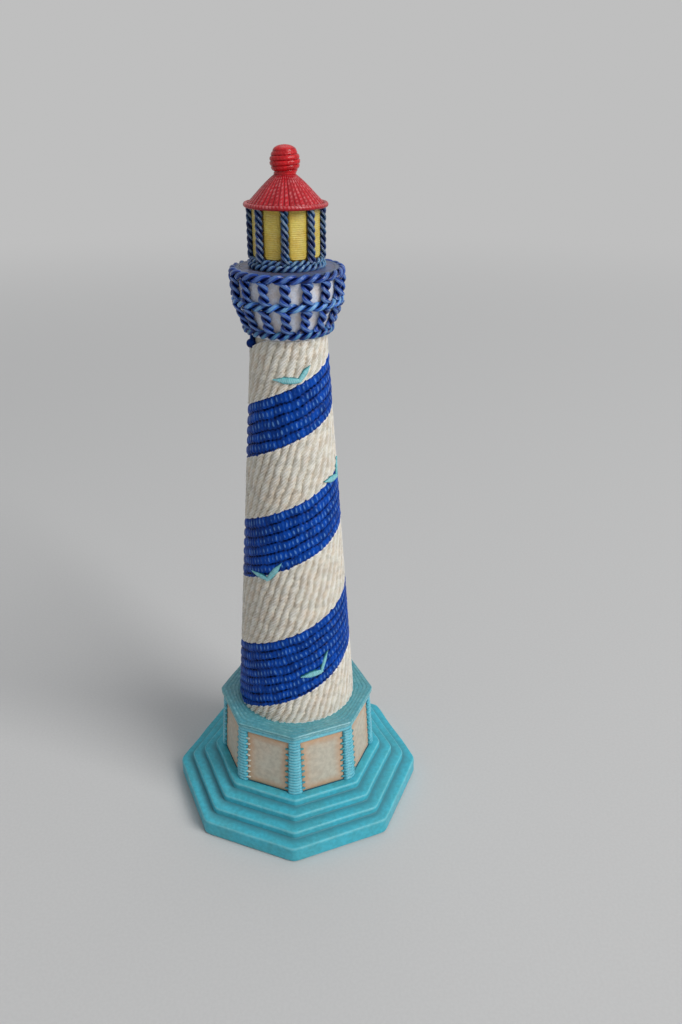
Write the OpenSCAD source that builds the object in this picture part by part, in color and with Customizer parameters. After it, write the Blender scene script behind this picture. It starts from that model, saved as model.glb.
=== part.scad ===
// A shelf ornament in the shape of a lighthouse, cast and painted to look like cord and needlework.
// Millimetres, +Z up, origin on the resting plane below the tower's axis, one corner of the base facing -Y.
// Azimuths are degrees about Z, and the front corner is at -90.

/* [Felt and base] */
// Ledge between the drum's foot and the edge of the top step, at a corner
ledge_w = 2.7; // [1.5:0.1:6]
// Height of the bottom slab's side
slab_h = 6.5; // [4:0.5:12]
// Number of steps above the bottom slab
step_count = 3; // [1:1:4]
// How far each step stands back from the one below, at a corner
step_run = 5.1; // [4:0.1:6]
// Height of each step
step_rise = 3.1; // [2:0.1:6]
// Rounding of the upper edge of the slab and the steps
step_round = 1.1; // [0.4:0.1:1.8]
// Thickness of the felt under the base
felt_t = 1; // [0.6:0.1:2]
// How far the felt stands out of its recess
felt_proud = 0.4; // [0.2:0.1:0.5]
// How far the felt stays inside the slab's corners
felt_inset = 4; // [2:0.5:8]

/* [Plinth] */
// Width of the drum at its foot, across opposite corners of its ridged posts
drum_foot_w = 64; // [56:0.5:66]
// How far the drum's corners draw in from its foot to its top
drum_in = 1.9; // [0.5:0.1:4]
// Height of the drum between the top step and the cap
drum_h = 25.7; // [18:0.1:40]
// Thickness of the ridged corner posts
post_t = 0.9; // [0.6:0.1:1.4]
// Number of thread ridges up each corner post
ridge_count = 18; // [10:1:24]
// Depth of the groove between two ridges
ridge_depth = 0.35; // [0.1:0.05:0.5]
// Width of each side panel
panel_w = 17.6; // [12:0.2:18]
// Thickness of each side panel
panel_t = 0.9; // [0.5:0.1:1.5]
// Height of the rail that joins the posts above the side panels
rail_h = 2; // [1:0.1:5]
// Length of the stitches that run over a panel's sides
stitch_len = 1.7; // [1:0.1:3]
// Height that a stitch stands above the panel
stitch_t = 0.5; // [0.3:0.1:0.7]
// Depth of the drum's spigot in the base
drum_spigot_h = 5; // [3:0.5:9]
// Width of the drum's spigot across opposite corners
drum_spigot_w = 40; // [30:1:50]
// How far the cap stands out over the drum's corners
cap_out = 0.9; // [0.5:0.1:3]
// Thickness of the cap
cap_h = 2.4; // [1.8:0.1:4]

/* [Tower] */
// Diameter of the tower at its foot, over the cords
tower_foot_d = 46.2; // [40:0.2:50]
// Diameter of the tower at its top, over the cords
tower_top_d = 25.8; // [24:0.2:27]
// Height of the tower between the cap and the gallery
tower_h = 146.3; // [100:1:200]
// Thickness of the corded bands on the tower
band_t = 1.7; // [1.2:0.1:2.4]
// Climb of the spiral bands, in degrees from level
band_climb = 23.3; // [18:0.1:28]
// Share of the spiral's pitch that is blue
blue_share = 0.48; // [0.35:0.01:0.65]
// Height at which the blue band's lower edge passes the front, above the tower's foot
band_start_h = 10.5; // [5:0.5:20]
// Number of rows across the blue band
row_count = 6; // [4:1:8]
// Depth of the grooves between rows and between cords
groove_depth = 0.6; // [0.2:0.05:0.8]
// Spacing of the slanted cords along the cream band
cord_pitch = 3.4; // [3:0.1:6]
// Lean of the slanted cords, in degrees from level
cord_lean = 72; // [55:1:75]
// Diameter of the tower's spigot in the plinth
tower_spigot_d = 28; // [16:1:32]
// Depth of the tower's spigot below the cap
tower_spigot_h = 8; // [5:0.5:14]

/* [Gulls] */
// Reach of a gull's level wing
gull_level_wing = 7.5; // [5:0.5:10]
// Sideways reach of a gull's raised wing
gull_raised_wing = 4.4; // [3:0.2:7]
// Rise of a gull's raised wing
gull_rise = 5.6; // [3:0.2:8]
// Width of a wing where the two meet
gull_root_w = 1.5; // [1:0.1:2]
// Height of a wing above the bands
gull_t = 0.6; // [0.4:0.1:1]

/* [Gallery] */
// Height of the lowest rope's centre above the tower's top
low_rope_z = 2; // [1.6:0.1:3]
// Height of the middle rope's centre above the tower's top
mid_rope_z = 11.4; // [9:0.1:13]
// Height of the rim rope's centre above the tower's top
rim_rope_z = 20.2; // [17:0.1:24]
// How far the lowest rope's centre stands out from the tower's top
low_rope_out = 1; // [0.8:0.1:2]
// How far the wall flares between the lowest and the middle rope
gallery_flare = 3.05; // [1:0.05:5]
// How far the wall leans out between the middle and the rim rope
rim_out = 0.5; // [0:0.05:1.5]
// Depth of a gallery rope's centre line in front of the wall
rope_bed = 0.55; // [0.3:0.05:1]
// How far the rim rope stands above the deck
rim_stand = 0.4; // [0.1:0.1:1.2]
// Thickness of the wall round the deck
gallery_wall_t = 1.4; // [1:0.1:2]
// Diameter of the three gallery ropes
gallery_rope_d = 3; // [2.4:0.1:3.4]
// Length of one full turn of a gallery rope's two strands
gallery_rope_lay = 7.4; // [6:0.2:10]
// Number of uprights in each row
upright_count = 16; // [8:1:18]
// Diameter of the uprights
upright_d = 2.6; // [1.6:0.1:3]
// Length of one full turn of an upright's two strands
upright_lay = 5.6; // [4:0.2:8]
// Thickness of the deck inside the rim
deck_t = 1.2; // [0.8:0.1:2]
// Diameter of the gallery's spigot in the tower
gallery_spigot_d = 12; // [8:0.5:16]
// Depth of the gallery's spigot
gallery_spigot_h = 8; // [4:0.5:12]

/* [Lantern] */
// Width of the lantern's core across opposite corners
lantern_w = 21.6; // [18:0.2:23]
// Height of the lantern between the deck and the roof
lantern_h = 18.3; // [12:0.1:26]
// Thickness of the yellow panes
pane_t = 0.5; // [0.3:0.1:0.8]
// Diameter of the rope round the lantern's foot
foot_rope_d = 3.4; // [2:0.1:4]
// Length of one full turn of the two strands of the lantern's ropes
lantern_rope_lay = 6.6; // [4:0.2:8]
// Diameter of the ropes up the lantern's corners
corner_rope_d = 2.4; // [1.4:0.1:2.8]
// Diameter of the lantern's spigot in the gallery
lantern_spigot_d = 10; // [7:0.5:12]
// Depth of the lantern's spigot
lantern_spigot_h = 6; // [4:0.5:9]

/* [Roof] */
// How far the roof's rolled brim stands out over the lantern's corners
eave_out = 2.6; // [2.2:0.1:4]
// Thickness of the rolled brim
brim_d = 1.7; // [1.2:0.1:2]
// Height of the roof from its underside to the finial
roof_h = 9.5; // [8:0.1:13]
// Number of thread ribs round the roof
rib_count = 40; // [24:4:48]
// Depth of the grooves between the roof's ribs
rib_depth = 0.35; // [0.1:0.05:0.5]
// Diameter of the stub that locates the roof
roof_stub_d = 10; // [6:0.5:12]
// Height of the stub that locates the roof
roof_stub_h = 3; // [2:0.5:4]
// Greatest diameter of the finial
finial_d = 9.4; // [7:0.2:12]
// Diameter of the finial where it meets the roof
finial_neck_d = 6.8; // [5:0.2:8]
// Number of coils in the finial
coil_count = 5; // [4:1:7]
// Height of one coil
coil_pitch = 1.5; // [1.2:0.1:2]
// Height of the dome on the top coil
dome_h = 1; // [0.5:0.1:2]
// Diameter of the finial's peg
peg_d = 3; // [2:0.2:4]
// Length of the finial's peg
peg_h = 3.5; // [2:0.5:4]

/* [Fits] */
// Glue clearance between a spigot and its socket, or a skin and its core
glue_gap = 0.1; // [0.05:0.05:0.25]
// Joint line between the two spiral bands
joint_line = 0.14; // [0.1:0.02:0.3]

/* [Hidden] */

turquoise = [0.33, 0.72, 0.78];
cream = [0.82, 0.78, 0.69];
royal_blue = [0.08, 0.2, 0.6];
yellow = [0.88, 0.78, 0.35];
red = [0.78, 0.18, 0.2];
beige = [0.75, 0.7, 0.62];
off_white = [0.85, 0.84, 0.82];

sides = 8;
side_angle = 360 / sides;
front = -90;
round_fn = 96;

// Heights of the joints, from the table up
slab_z = felt_proud;
steps_z = slab_z + slab_h;
drum_z = steps_z + step_count * step_rise;
cap_z = drum_z + drum_h;
tower_z = cap_z + cap_h;
gallery_z = tower_z + tower_h;
rim_z = gallery_z + rim_rope_z;
deck_z = rim_z + gallery_rope_d / 2 - rim_stand;
roof_z = deck_z + lantern_h;
finial_z = roof_z + roof_h;

// Sizes that follow from the ones above
base_r = drum_foot_w / 2 + ledge_w + step_count * step_run;
cap_r = drum_foot_w / 2 - drum_in + cap_out;
drum_foot_r = drum_foot_w / 2 - post_t;
drum_top_r = drum_foot_r - drum_in;
drum_foot_apothem = drum_foot_r * cos(side_angle / 2);
drum_draft = atan(drum_in * cos(side_angle / 2) / drum_h);
panel_h = drum_h - rail_h;
panel_recess = panel_t + glue_gap;
ridge_pitch = panel_h / ridge_count;
tower_foot_r = tower_foot_d / 2;
tower_top_r = tower_top_d / 2;
tower_taper = (tower_foot_r - tower_top_r) / tower_h;
gallery_rope_r = gallery_rope_d / 2;
low_rope_r = tower_top_r + low_rope_out;
mid_rope_r = low_rope_r + gallery_flare;
rim_rope_r = mid_rope_r + rim_out;
upright_r = upright_d / 2;
lantern_r = lantern_w / 2;
lantern_apothem = lantern_r * cos(side_angle / 2);
corner_rope_r = corner_rope_d / 2;
foot_rope_r = foot_rope_d / 2;
foot_rope_centre_r = lantern_r + foot_rope_r / 3;
foot_rope_z = deck_z + foot_rope_r;
brim_r = brim_d / 2;
roof_edge_r = lantern_r + eave_out - brim_d;
brim_z = roof_z + brim_r;

// ---- points on the tower -------------------------------------------------------------------------

function polar(r, azimuth, z) = [r * cos(azimuth), r * sin(azimuth), z];

// Radius over the cords at height z
function tower_r(z) = tower_foot_r - (z - tower_z) * tower_taper;

// The bands climb at a constant angle, so the tower's radius falls by the same share in every turn
climb_share = 2 * PI * tower_taper * tan(band_climb);
band_start_r = tower_foot_r - band_start_h * tower_taper;
band_foot_z = tower_z + glue_gap / 2;
band_top_z = gallery_z - glue_gap / 2;

// Height of a band's edge after some turns from the front: phase 0 is the blue band's lower edge,
// blue_share its upper edge, and 1 the lower edge one turn further up
function edge_z(turn, phase) =
    tower_z + (tower_foot_r - band_start_r * exp(-climb_share * (turn + phase))) / tower_taper;

// The same height, kept between the tower's foot and its top
function edge_in_tower(turn, phase, shift) =
    min(band_top_z, max(band_foot_z, edge_z(turn, phase) + shift));

// Turn at which an edge passes height z
function turn_at(z, phase) = ln(band_start_r / tower_r(z)) / climb_share - phase;

// ---- solids from rings of points -----------------------------------------------------------------

// Triangles of a tube whose rings have n points each: closed joins the last ring to the first
function ring_faces(rings, n, closed) = concat(
    [
        for (i = [0 : rings - (closed ? 1 : 2)], j = [0 : n - 1], half = [0, 1])
            let (k = (i + 1) % rings, m = (j + 1) % n)
            half == 0 ? [i * n + j, i * n + m, k * n + m] : [i * n + j, k * n + m, k * n + j]
    ],
    closed ? [] : [for (j = [1 : n - 2]) [0, j + 1, j]],
    closed ? [] : [for (j = [1 : n - 2]) [(rings - 1) * n, (rings - 1) * n + j, (rings - 1) * n + j + 1]]
);

module ring_solid(rings, closed = false) {
    n = len(rings[0]);
    points = [for (ring = rings, point = ring) point];
    polyhedron(points, ring_faces(len(rings), n, closed));
}

// A two-strand rope's section: two far points where the strands lie and four near ones between them
rope_waist = 0.68;
rope_points = 6;
function rope_reach(j) = j % 3 == 0 ? 1 : rope_waist;

// Moves a point out to the radius floor_r if it lies nearer the axis, as where a rope lies on a wall
function seated(x, y, z, floor_r) =
    let (r = norm([x, y]), grow = max(r, floor_r) / r)
    [x * grow, y * grow, z];

// A rope laid in a level ring, with its back flattened where it lies on a wall of radius floor_r(height)
module rope_ring(ring_r, z, rope_r, lay, floor_r) {
    twists = round(2 * PI * ring_r / lay);
    per_twist = 5;
    count = twists * per_twist;
    ring_solid([
        for (i = [0 : count - 1])
            let (azimuth = front + 360 * i / count, twist = 360 * i / per_twist)
            [
                for (j = [0 : rope_points - 1])
                    let (
                        angle = twist + 360 * j / rope_points,
                        reach = rope_r * rope_reach(j),
                        up = z + reach * sin(angle)
                    )
                    polar(max(ring_r + reach * cos(angle), floor_r(up)), azimuth, up)
            ]
    ], closed = true);
}

// A rope that stands against the tower's axis, from foot to top given as [radius, height]
module rope_upright(azimuth, foot, top, rope_r, lay, floor_foot, floor_top) {
    per_twist = 4;
    count = ceil((top[1] - foot[1]) / lay * per_twist);
    rotate([0, 0, azimuth])
    ring_solid([
        for (i = [0 : count])
            let (
                share = i / count,
                centre = foot + (top - foot) * share,
                twist = -360 * (centre[1] - foot[1]) / lay,
                floor_r = floor_foot + (floor_top - floor_foot) * share
            )
            [
                for (j = [0 : rope_points - 1])
                    let (angle = twist + 360 * j / rope_points, reach = rope_r * rope_reach(j))
                    seated(centre[0] + reach * cos(angle), reach * sin(angle), centre[1], floor_r)
            ]
    ]);
}

// ---- base and plinth -----------------------------------------------------------------------------

// An eight-sided turning, with a corner facing the front
module octagonal_turning() {
    rotate_extrude($fn = sides) children();
}

module octagonal_bar(corner_r, z, h) {
    translate([0, 0, z]) linear_extrude(h) circle(r = corner_r, $fn = sides);
}

// Half the outline of one step, rounded at its upper edge
function step_outline(r, z_foot, z_top, round_r) = concat(
    [[r, z_foot]],
    [for (a = [0 : 30 : 90]) [r - round_r + round_r * cos(a), z_top - round_r + round_r * sin(a)]]
);

module felt_pad() {
    color("darkgreen")
    octagonal_bar(base_r - felt_inset, 0, felt_t);
}

module stepped_base() {
    slab = step_outline(base_r, slab_z, steps_z, step_round);
    steps = [
        for (i = [1 : step_count])
            each step_outline(base_r - i * step_run, steps_z + (i - 1) * step_rise, steps_z + i * step_rise, step_round)
    ];
    color(turquoise)
    difference() {
        octagonal_turning()
        polygon(concat([[0, slab_z]], slab, steps, [[0, drum_z]]));
        octagonal_bar(base_r - felt_inset + glue_gap, slab_z - 1, felt_t - felt_proud + 1);
        octagonal_bar(drum_spigot_w / 2 + glue_gap, drum_z - drum_spigot_h - glue_gap, drum_spigot_h + 1);
    }
}

// Places things on one side of the drum: X along the side, Y up its slope, Z out of it
module on_drum_side(k) {
    rotate([0, 0, front + side_angle * (k + 0.5)])
    translate([drum_foot_apothem, 0, drum_z])
    rotate([0, -drum_draft, 0])
    rotate([90, 0, 90])
    children();
}

module plinth_drum() {
    color(turquoise)
    difference() {
        union() {
            translate([0, 0, drum_z]) cylinder(h = drum_h, r1 = drum_foot_r, r2 = drum_top_r, $fn = sides);
            octagonal_bar(drum_spigot_w / 2, drum_z - drum_spigot_h, drum_spigot_h + 1);
        }
        for (k = [0 : sides - 1])
            on_drum_side(k)
            translate([-panel_w / 2 - glue_gap, glue_gap, -panel_recess])
            cube([panel_w + 2 * glue_gap, panel_h, panel_recess + 2]);
        translate([0, 0, cap_z - tower_spigot_h - glue_gap])
        cylinder(h = tower_spigot_h + 2, d = tower_spigot_d + 2 * glue_gap, $fn = round_fn);
    }
}

module side_panels() {
    color(beige)
    for (k = [0 : sides - 1])
        on_drum_side(k)
        translate([-panel_w / 2, 2 * glue_gap, -panel_t])
        cube([panel_w, panel_h - 2 * glue_gap, panel_t]);
}

// Radius of the drum's own surface, at a corner
function drum_r(z) = drum_foot_r + (drum_top_r - drum_foot_r) * (z - drum_z) / drum_h;

// Ridged posts that wrap the corners, cut from one turned skin, with a plain rail above the panels
module corner_posts() {
    back_gap = glue_gap / 2;
    groove_at = 0.5;
    rail_z = drum_z + panel_h;
    ridges = [
        for (i = [0 : ridge_count - 1], share = [0, groove_at])
            let (z = drum_z + ridge_pitch * (i + share))
            [drum_r(z) + post_t - (share == groove_at ? 0 : ridge_depth), z]
    ];
    rail = [[drum_r(rail_z) + post_t - ridge_depth, rail_z], [drum_r(rail_z) + post_t, rail_z + ridge_depth]];
    skin = concat(
        [[drum_r(drum_z) + back_gap, drum_z]],
        ridges,
        rail,
        [[drum_r(cap_z) + post_t, cap_z], [drum_r(cap_z) + back_gap, cap_z]]
    );
    color(turquoise)
    difference() {
        octagonal_turning()
        polygon(skin);
        for (k = [0 : sides - 1])
            on_drum_side(k)
            translate([-panel_w / 2, -1, -post_t])
            cube([panel_w, panel_h + 1, 3 * post_t]);
    }
}

// Every other ridge reaches over the panel's side as a stitch with a bevelled back
module panel_stitches() {
    stitch_w = ridge_pitch * 0.62;
    bevel = stitch_w * 0.25;
    stitch_seat = glue_gap / 5;
    color(turquoise)
    for (k = [0 : sides - 1], i = [1 : 2 : ridge_count - 2], hand = [-1, 1])
        on_drum_side(k)
        translate([hand * (panel_w - stitch_len) / 2, ridge_pitch * (i + 0.5), stitch_seat])
        rotate([0, -90, 0])
        translate([0, 0, -stitch_len / 2])
        linear_extrude(stitch_len)
        polygon([
            [0, -stitch_w / 2],
            [stitch_t, -stitch_w / 2 + bevel],
            [stitch_t, stitch_w / 2 - bevel],
            [0, stitch_w / 2]
        ]);
}

// The cap: a beaded edge, two octagonal threads on top, and two round ones about the tower's foot
module plinth_cap() {
    thread_h = 0.25;
    thread_w = 1.1;
    thread_slope = 0.3;
    threads = 2;
    edge_in = 0.8;
    chamfer = 0.35;
    notch = 0.4;
    bead_r = 0.45;
    top_z = tower_z - thread_h;
    lower_bead_r = cap_r - notch / 4;
    edge = [
        [cap_r - edge_in, cap_z],
        [lower_bead_r, cap_z + chamfer],
        [lower_bead_r, cap_z + cap_h * 0.4],
        [cap_r - notch, cap_z + cap_h * 0.5],
        [cap_r, cap_z + cap_h * 0.6],
        [cap_r, top_z - chamfer],
        [cap_r - chamfer, top_z]
    ];
    top_threads = [
        for (i = [0 : threads - 1])
            let (r = cap_r - edge_in - thread_w * i, inner_r = r - thread_w)
            each [[r, top_z], [r - thread_slope, tower_z], [inner_r + thread_slope, tower_z], [inner_r, top_z]]
    ];
    color(turquoise)
    difference() {
        union() {
            octagonal_turning()
            polygon(concat([[0, cap_z]], edge, top_threads, [[0, top_z]]));
            translate([0, 0, top_z])
            rotate_extrude($fn = round_fn)
            union() {
                translate([0, -thread_h]) square([tower_foot_r, 2 * thread_h]);
                for (i = [1 : threads])
                    translate([tower_foot_r + 2 * bead_r * i, 0]) circle(r = bead_r, $fn = 24);
            }
        }
        translate([0, 0, cap_z - 1])
        cylinder(h = cap_h + 2, d = tower_spigot_d + 2 * glue_gap, $fn = round_fn);
    }
}

// ---- tower ---------------------------------------------------------------------------------------

module tower_core() {
    color(cream)
    difference() {
        union() {
            translate([0, 0, tower_z])
            cylinder(h = tower_h, r1 = tower_foot_r - band_t, r2 = tower_top_r - band_t, $fn = round_fn);
            translate([0, 0, cap_z - tower_spigot_h])
            cylinder(h = tower_spigot_h + cap_h + 1, d = tower_spigot_d, $fn = round_fn);
        }
        translate([0, 0, gallery_z - gallery_spigot_h - glue_gap])
        cylinder(h = gallery_spigot_h + 1, d = gallery_spigot_d + 2 * glue_gap, $fn = round_fn);
    }
}

// A point on the bands: depth is measured in from the crests of the cords
function on_tower(turn, z, depth) = polar(tower_r(z) - depth, front + 360 * turn, z);

// Radius of a band's back, where it has so many facets in a turn and still clears the core
function back_r(z, facets) = (tower_r(z) - band_t + glue_gap) / cos(180 / facets);
function on_core(turn, z, facets) = polar(back_r(z, facets), front + 360 * turn, z);

band_end_h = 1;

// Blue band: level rows that follow the spiral, each with a groove, a round back of two crests
module blue_band() {
    rings_per_turn = 22;
    turn_first = turn_at(band_foot_z + band_end_h, blue_share);
    turn_last = turn_at(band_top_z - band_end_h, 0);
    count = ceil((turn_last - turn_first) * rings_per_turn);
    row_shape = [[0, groove_depth], [0.3, 0], [0.7, 0]];
    shares = concat([for (i = [0 : row_count - 1], p = row_shape) [(i + p[0]) / row_count, p[1]]], [[1, groove_depth]]);
    color(royal_blue)
    ring_solid([
        for (i = [0 : count])
            let (
                turn = turn_first + (turn_last - turn_first) * i / count,
                low = edge_in_tower(turn, 0, joint_line / 2),
                high = edge_in_tower(turn, blue_share, -joint_line / 2)
            )
            concat(
                [on_core(turn, low, rings_per_turn)],
                [for (p = shares) on_tower(turn, low + (high - low) * p[0], p[1])],
                [on_core(turn, high, rings_per_turn)]
            )
    ]);
}

// Cream band: cords that lean across the band, evenly spaced along it
module cream_band() {
    turn_first = turn_at(band_foot_z + band_end_h, 1);
    turn_last = turn_at(band_top_z - band_end_h, blue_share);
    spiral_length = 2 * PI * band_start_r / climb_share
        * (exp(-climb_share * (turn_first + blue_share)) - exp(-climb_share * (turn_last + blue_share)));
    count = 2 * ceil(spiral_length / cord_pitch);
    shrink = 1 - exp(-climb_share * (turn_last - turn_first));
    cords_per_turn = 2 * PI * tower_top_r / cord_pitch;
    steps = 3;
    color(cream)
    ring_solid([
        for (i = [0 : count])
            let (
                turn = turn_first - ln(1 - shrink * i / count) / climb_share,
                low = edge_in_tower(turn, blue_share, joint_line / 2),
                round_turn = 2 * PI * tower_r(low),
                to_edge = (edge_z(turn, 1) - low) / (round_turn * (tan(cord_lean) - tan(band_climb))),
                to_top = (band_top_z - low) / (round_turn * tan(cord_lean)),
                lean = min(to_edge, to_top),
                high = edge_in_tower(turn + lean, 1, -joint_line / 2),
                middle = turn + lean / 2,
                groove = i % 2 == 0 ? groove_depth : 0
            )
            concat(
                [on_core(middle, edge_in_tower(middle, blue_share, joint_line / 2), cords_per_turn)],
                [for (j = [0 : steps]) on_tower(turn + lean * j / steps, low + (high - low) * j / steps, groove)],
                [on_core(middle, edge_in_tower(middle, 1, -joint_line / 2), cords_per_turn)]
            )
    ]);
}

// Angle that a length takes up round a circle
function arc(length, r) = 360 * length / (2 * PI * r);

// One wing, a ridge that tapers from the root to the tip and lies on the bands
module gull_wing(azimuth, z, reach, rise, root_w) {
    stations = 4;
    tip_share = 0.25;
    seat = 0.4 * glue_gap;
    length = norm([reach, rise]);
    across = [-rise, reach] / length;
    ring_solid([
        for (i = [0 : stations])
            let (
                share = i / stations,
                half_w = root_w / 2 * (1 - (1 - tip_share) * share),
                spread = [[-half_w, seat], [0, gull_t * (1 - 0.5 * share)], [half_w, seat]]
            )
            [
                for (p = spread)
                    let (
                        along = reach * share + across[0] * p[0],
                        up = z + rise * share + across[1] * p[0],
                        r = tower_r(up)
                    )
                    polar(r + p[1], azimuth + arc(along, r), up)
            ]
    ]);
}

// Gulls as [azimuth, share of the tower's height] of the point where the wings meet
gull_places = [[-76, 0.914], [-13, 0.678], [-119, 0.415], [-62, 0.151], [62, 0.77], [140, 0.56], [48, 0.3]];

module gulls() {
    half_turn = 180;
    half_gap = 0.4 * gull_root_w;
    level_rise = 0.06 * gull_rise;
    color("turquoise")
    for (place = gull_places)
        let (z = tower_z + tower_h * place[1], shift = arc(half_gap, tower_r(z))) {
            gull_wing(place[0] + shift, z, gull_raised_wing, gull_rise, gull_root_w);
            mirror([1, 0, 0])
            gull_wing(half_turn - place[0] + shift, z, gull_level_wing, level_rise, gull_root_w);
        }
}

// ---- gallery -------------------------------------------------------------------------------------

// Radii of the gallery's wall at its foot and behind each rope
foot_lip = 0.3;
wall_foot_r = tower_top_r - foot_lip;
wall_low_r = low_rope_r - rope_bed;
wall_mid_r = mid_rope_r - rope_bed;
wall_rim_r = rim_rope_r - rope_bed;
upright_bed = 0.35;
upright_out = upright_r - upright_bed;
upright_gap = 2 * glue_gap;

// Radius of the wall at a height above the tower's top
function wall_r(h) =
    h < low_rope_z ? wall_foot_r + (wall_low_r - wall_foot_r) * h / low_rope_z
    : h < mid_rope_z ? wall_low_r + (wall_mid_r - wall_low_r) * (h - low_rope_z) / (mid_rope_z - low_rope_z)
    : h < rim_rope_z ? wall_mid_r + (wall_rim_r - wall_mid_r) * (h - mid_rope_z) / (rim_rope_z - mid_rope_z)
    : wall_rim_r;

module gallery_wall() {
    deck_floor = deck_z - deck_t;
    color(off_white)
    difference() {
        union() {
            rotate_extrude($fn = round_fn)
            polygon([
                [0, gallery_z],
                [wall_foot_r, gallery_z],
                [wall_low_r, gallery_z + low_rope_z],
                [wall_mid_r, gallery_z + mid_rope_z],
                [wall_rim_r, rim_z],
                [wall_rim_r, deck_z],
                [wall_rim_r - gallery_wall_t, deck_z],
                [wall_rim_r - gallery_wall_t, deck_floor],
                [0, deck_floor]
            ]);
            translate([0, 0, gallery_z - gallery_spigot_h])
            cylinder(h = gallery_spigot_h + 1, d = gallery_spigot_d, $fn = round_fn);
        }
        translate([0, 0, deck_z - lantern_spigot_h - glue_gap])
        cylinder(h = lantern_spigot_h + 2, d = lantern_spigot_d + 2 * glue_gap, $fn = round_fn);
    }
}

module gallery_deck() {
    color(off_white)
    difference() {
        translate([0, 0, deck_z - deck_t])
        cylinder(h = deck_t, r = wall_rim_r - gallery_wall_t - glue_gap, $fn = round_fn);
        translate([0, 0, deck_z - deck_t - 1])
        cylinder(h = deck_t + 2, d = lantern_spigot_d + 2 * glue_gap, $fn = round_fn);
    }
}

module gallery_rope(ring_r, h) {
    color(royal_blue)
    rope_ring(ring_r, gallery_z + h, gallery_rope_r, gallery_rope_lay,
        function (z) wall_r(z - gallery_z) + glue_gap);
}

module gallery_low_rope() gallery_rope(low_rope_r, low_rope_z);
module gallery_mid_rope() gallery_rope(mid_rope_r, mid_rope_z);
module gallery_rim_rope() gallery_rope(rim_rope_r, rim_rope_z);

module upright_row(low_h, high_h) {
    foot_h = low_h + gallery_rope_r + glue_gap;
    top_h = high_h - gallery_rope_r - glue_gap;
    foot_wall = wall_r(foot_h);
    top_wall = wall_r(top_h);
    for (k = [0 : upright_count - 1])
        rope_upright(
            front + 360 * k / upright_count,
            [foot_wall + upright_out, gallery_z + foot_h],
            [top_wall + upright_out, gallery_z + top_h],
            upright_r, upright_lay, foot_wall + upright_gap, top_wall + upright_gap
        );
}

module lower_uprights() {
    color(royal_blue)
    upright_row(low_rope_z, mid_rope_z);
}

module upper_uprights() {
    color(royal_blue)
    upright_row(mid_rope_z, rim_rope_z);
}

// ---- lantern and roof ----------------------------------------------------------------------------

module lantern_core() {
    color(yellow)
    union() {
        octagonal_bar(lantern_r, deck_z, lantern_h);
        translate([0, 0, deck_z - lantern_spigot_h])
        cylinder(h = lantern_spigot_h + 1, d = lantern_spigot_d, $fn = round_fn);
        translate([0, 0, roof_z - 1])
        cylinder(h = roof_stub_h + 1, d = roof_stub_d, $fn = round_fn);
    }
}

// Yellow panes with rounded ends, one on each side of the core
module lantern_panes() {
    pane_w = 2 * lantern_r * sin(side_angle / 2) - corner_rope_d - 0.4;
    foot = foot_rope_z + foot_rope_r + glue_gap;
    pane_h = roof_z - glue_gap - foot;
    corner = 1.2;
    color(yellow)
    for (k = [0 : sides - 1])
        rotate([0, 0, front + side_angle * (k + 0.5)])
        translate([lantern_apothem + glue_gap / 2, 0, foot])
        rotate([90, 0, 90])
        linear_extrude(pane_t)
        union() {
            translate([-pane_w / 2, corner]) square([pane_w, pane_h - 2 * corner]);
            translate([-pane_w / 2 + corner, 0]) square([pane_w - 2 * corner, pane_h]);
            for (x = [-1, 1], y = [corner, pane_h - corner])
                translate([x * (pane_w / 2 - corner), y]) circle(r = corner, $fn = 24);
        }
}

module lantern_foot_rope() {
    color(royal_blue)
    rope_ring(foot_rope_centre_r, foot_rope_z, foot_rope_r, lantern_rope_lay,
        function (z) lantern_r + glue_gap);
}

module lantern_corner_ropes() {
    corner_rope_bed = 0.55;
    centre_r = lantern_r + corner_rope_r * corner_rope_bed;
    foot = [centre_r, foot_rope_z + foot_rope_r + glue_gap];
    top = [centre_r, roof_z - glue_gap];
    color(royal_blue)
    for (k = [0 : sides - 1])
        rope_upright(front + side_angle * k, foot, top, corner_rope_r, lantern_rope_lay,
            lantern_r + glue_gap, lantern_r + glue_gap);
}

// The roof bellies out a little between the finial and the brim
roof_profile = [[0, 1], [0.3, 0.81], [0.62, 0.53], [0.88, 0.25], [1, 0.12]];

module roof_cone() {
    neck_r = finial_neck_d / 2;
    ring_points = 2 * rib_count;
    function roof_ring(share, h) = [
        for (j = [0 : ring_points - 1])
            let (r = neck_r + (roof_edge_r - neck_r) * share)
            polar(r - (j % 2) * rib_depth * (0.3 + 0.7 * share), front + 360 * j / ring_points, roof_z + h)
    ];
    rings = concat([roof_ring(1, 0)], [for (i = [len(roof_profile) - 1 : -1 : 0])
        roof_ring(roof_profile[i][0], roof_h * roof_profile[i][1])]);
    color(red)
    difference() {
        ring_solid(rings);
        translate([0, 0, roof_z - 1])
        cylinder(h = roof_stub_h + glue_gap + 1, d = roof_stub_d + 2 * glue_gap, $fn = round_fn);
        translate([0, 0, finial_z - peg_h - glue_gap])
        cylinder(h = peg_h + 1, d = peg_d + 2 * glue_gap, $fn = round_fn);
    }
}

module roof_brim() {
    color(red)
    translate([0, 0, brim_z])
    rotate_extrude($fn = round_fn)
    translate([roof_edge_r + brim_r, 0])
    circle(r = brim_r, $fn = 32);
}

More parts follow.
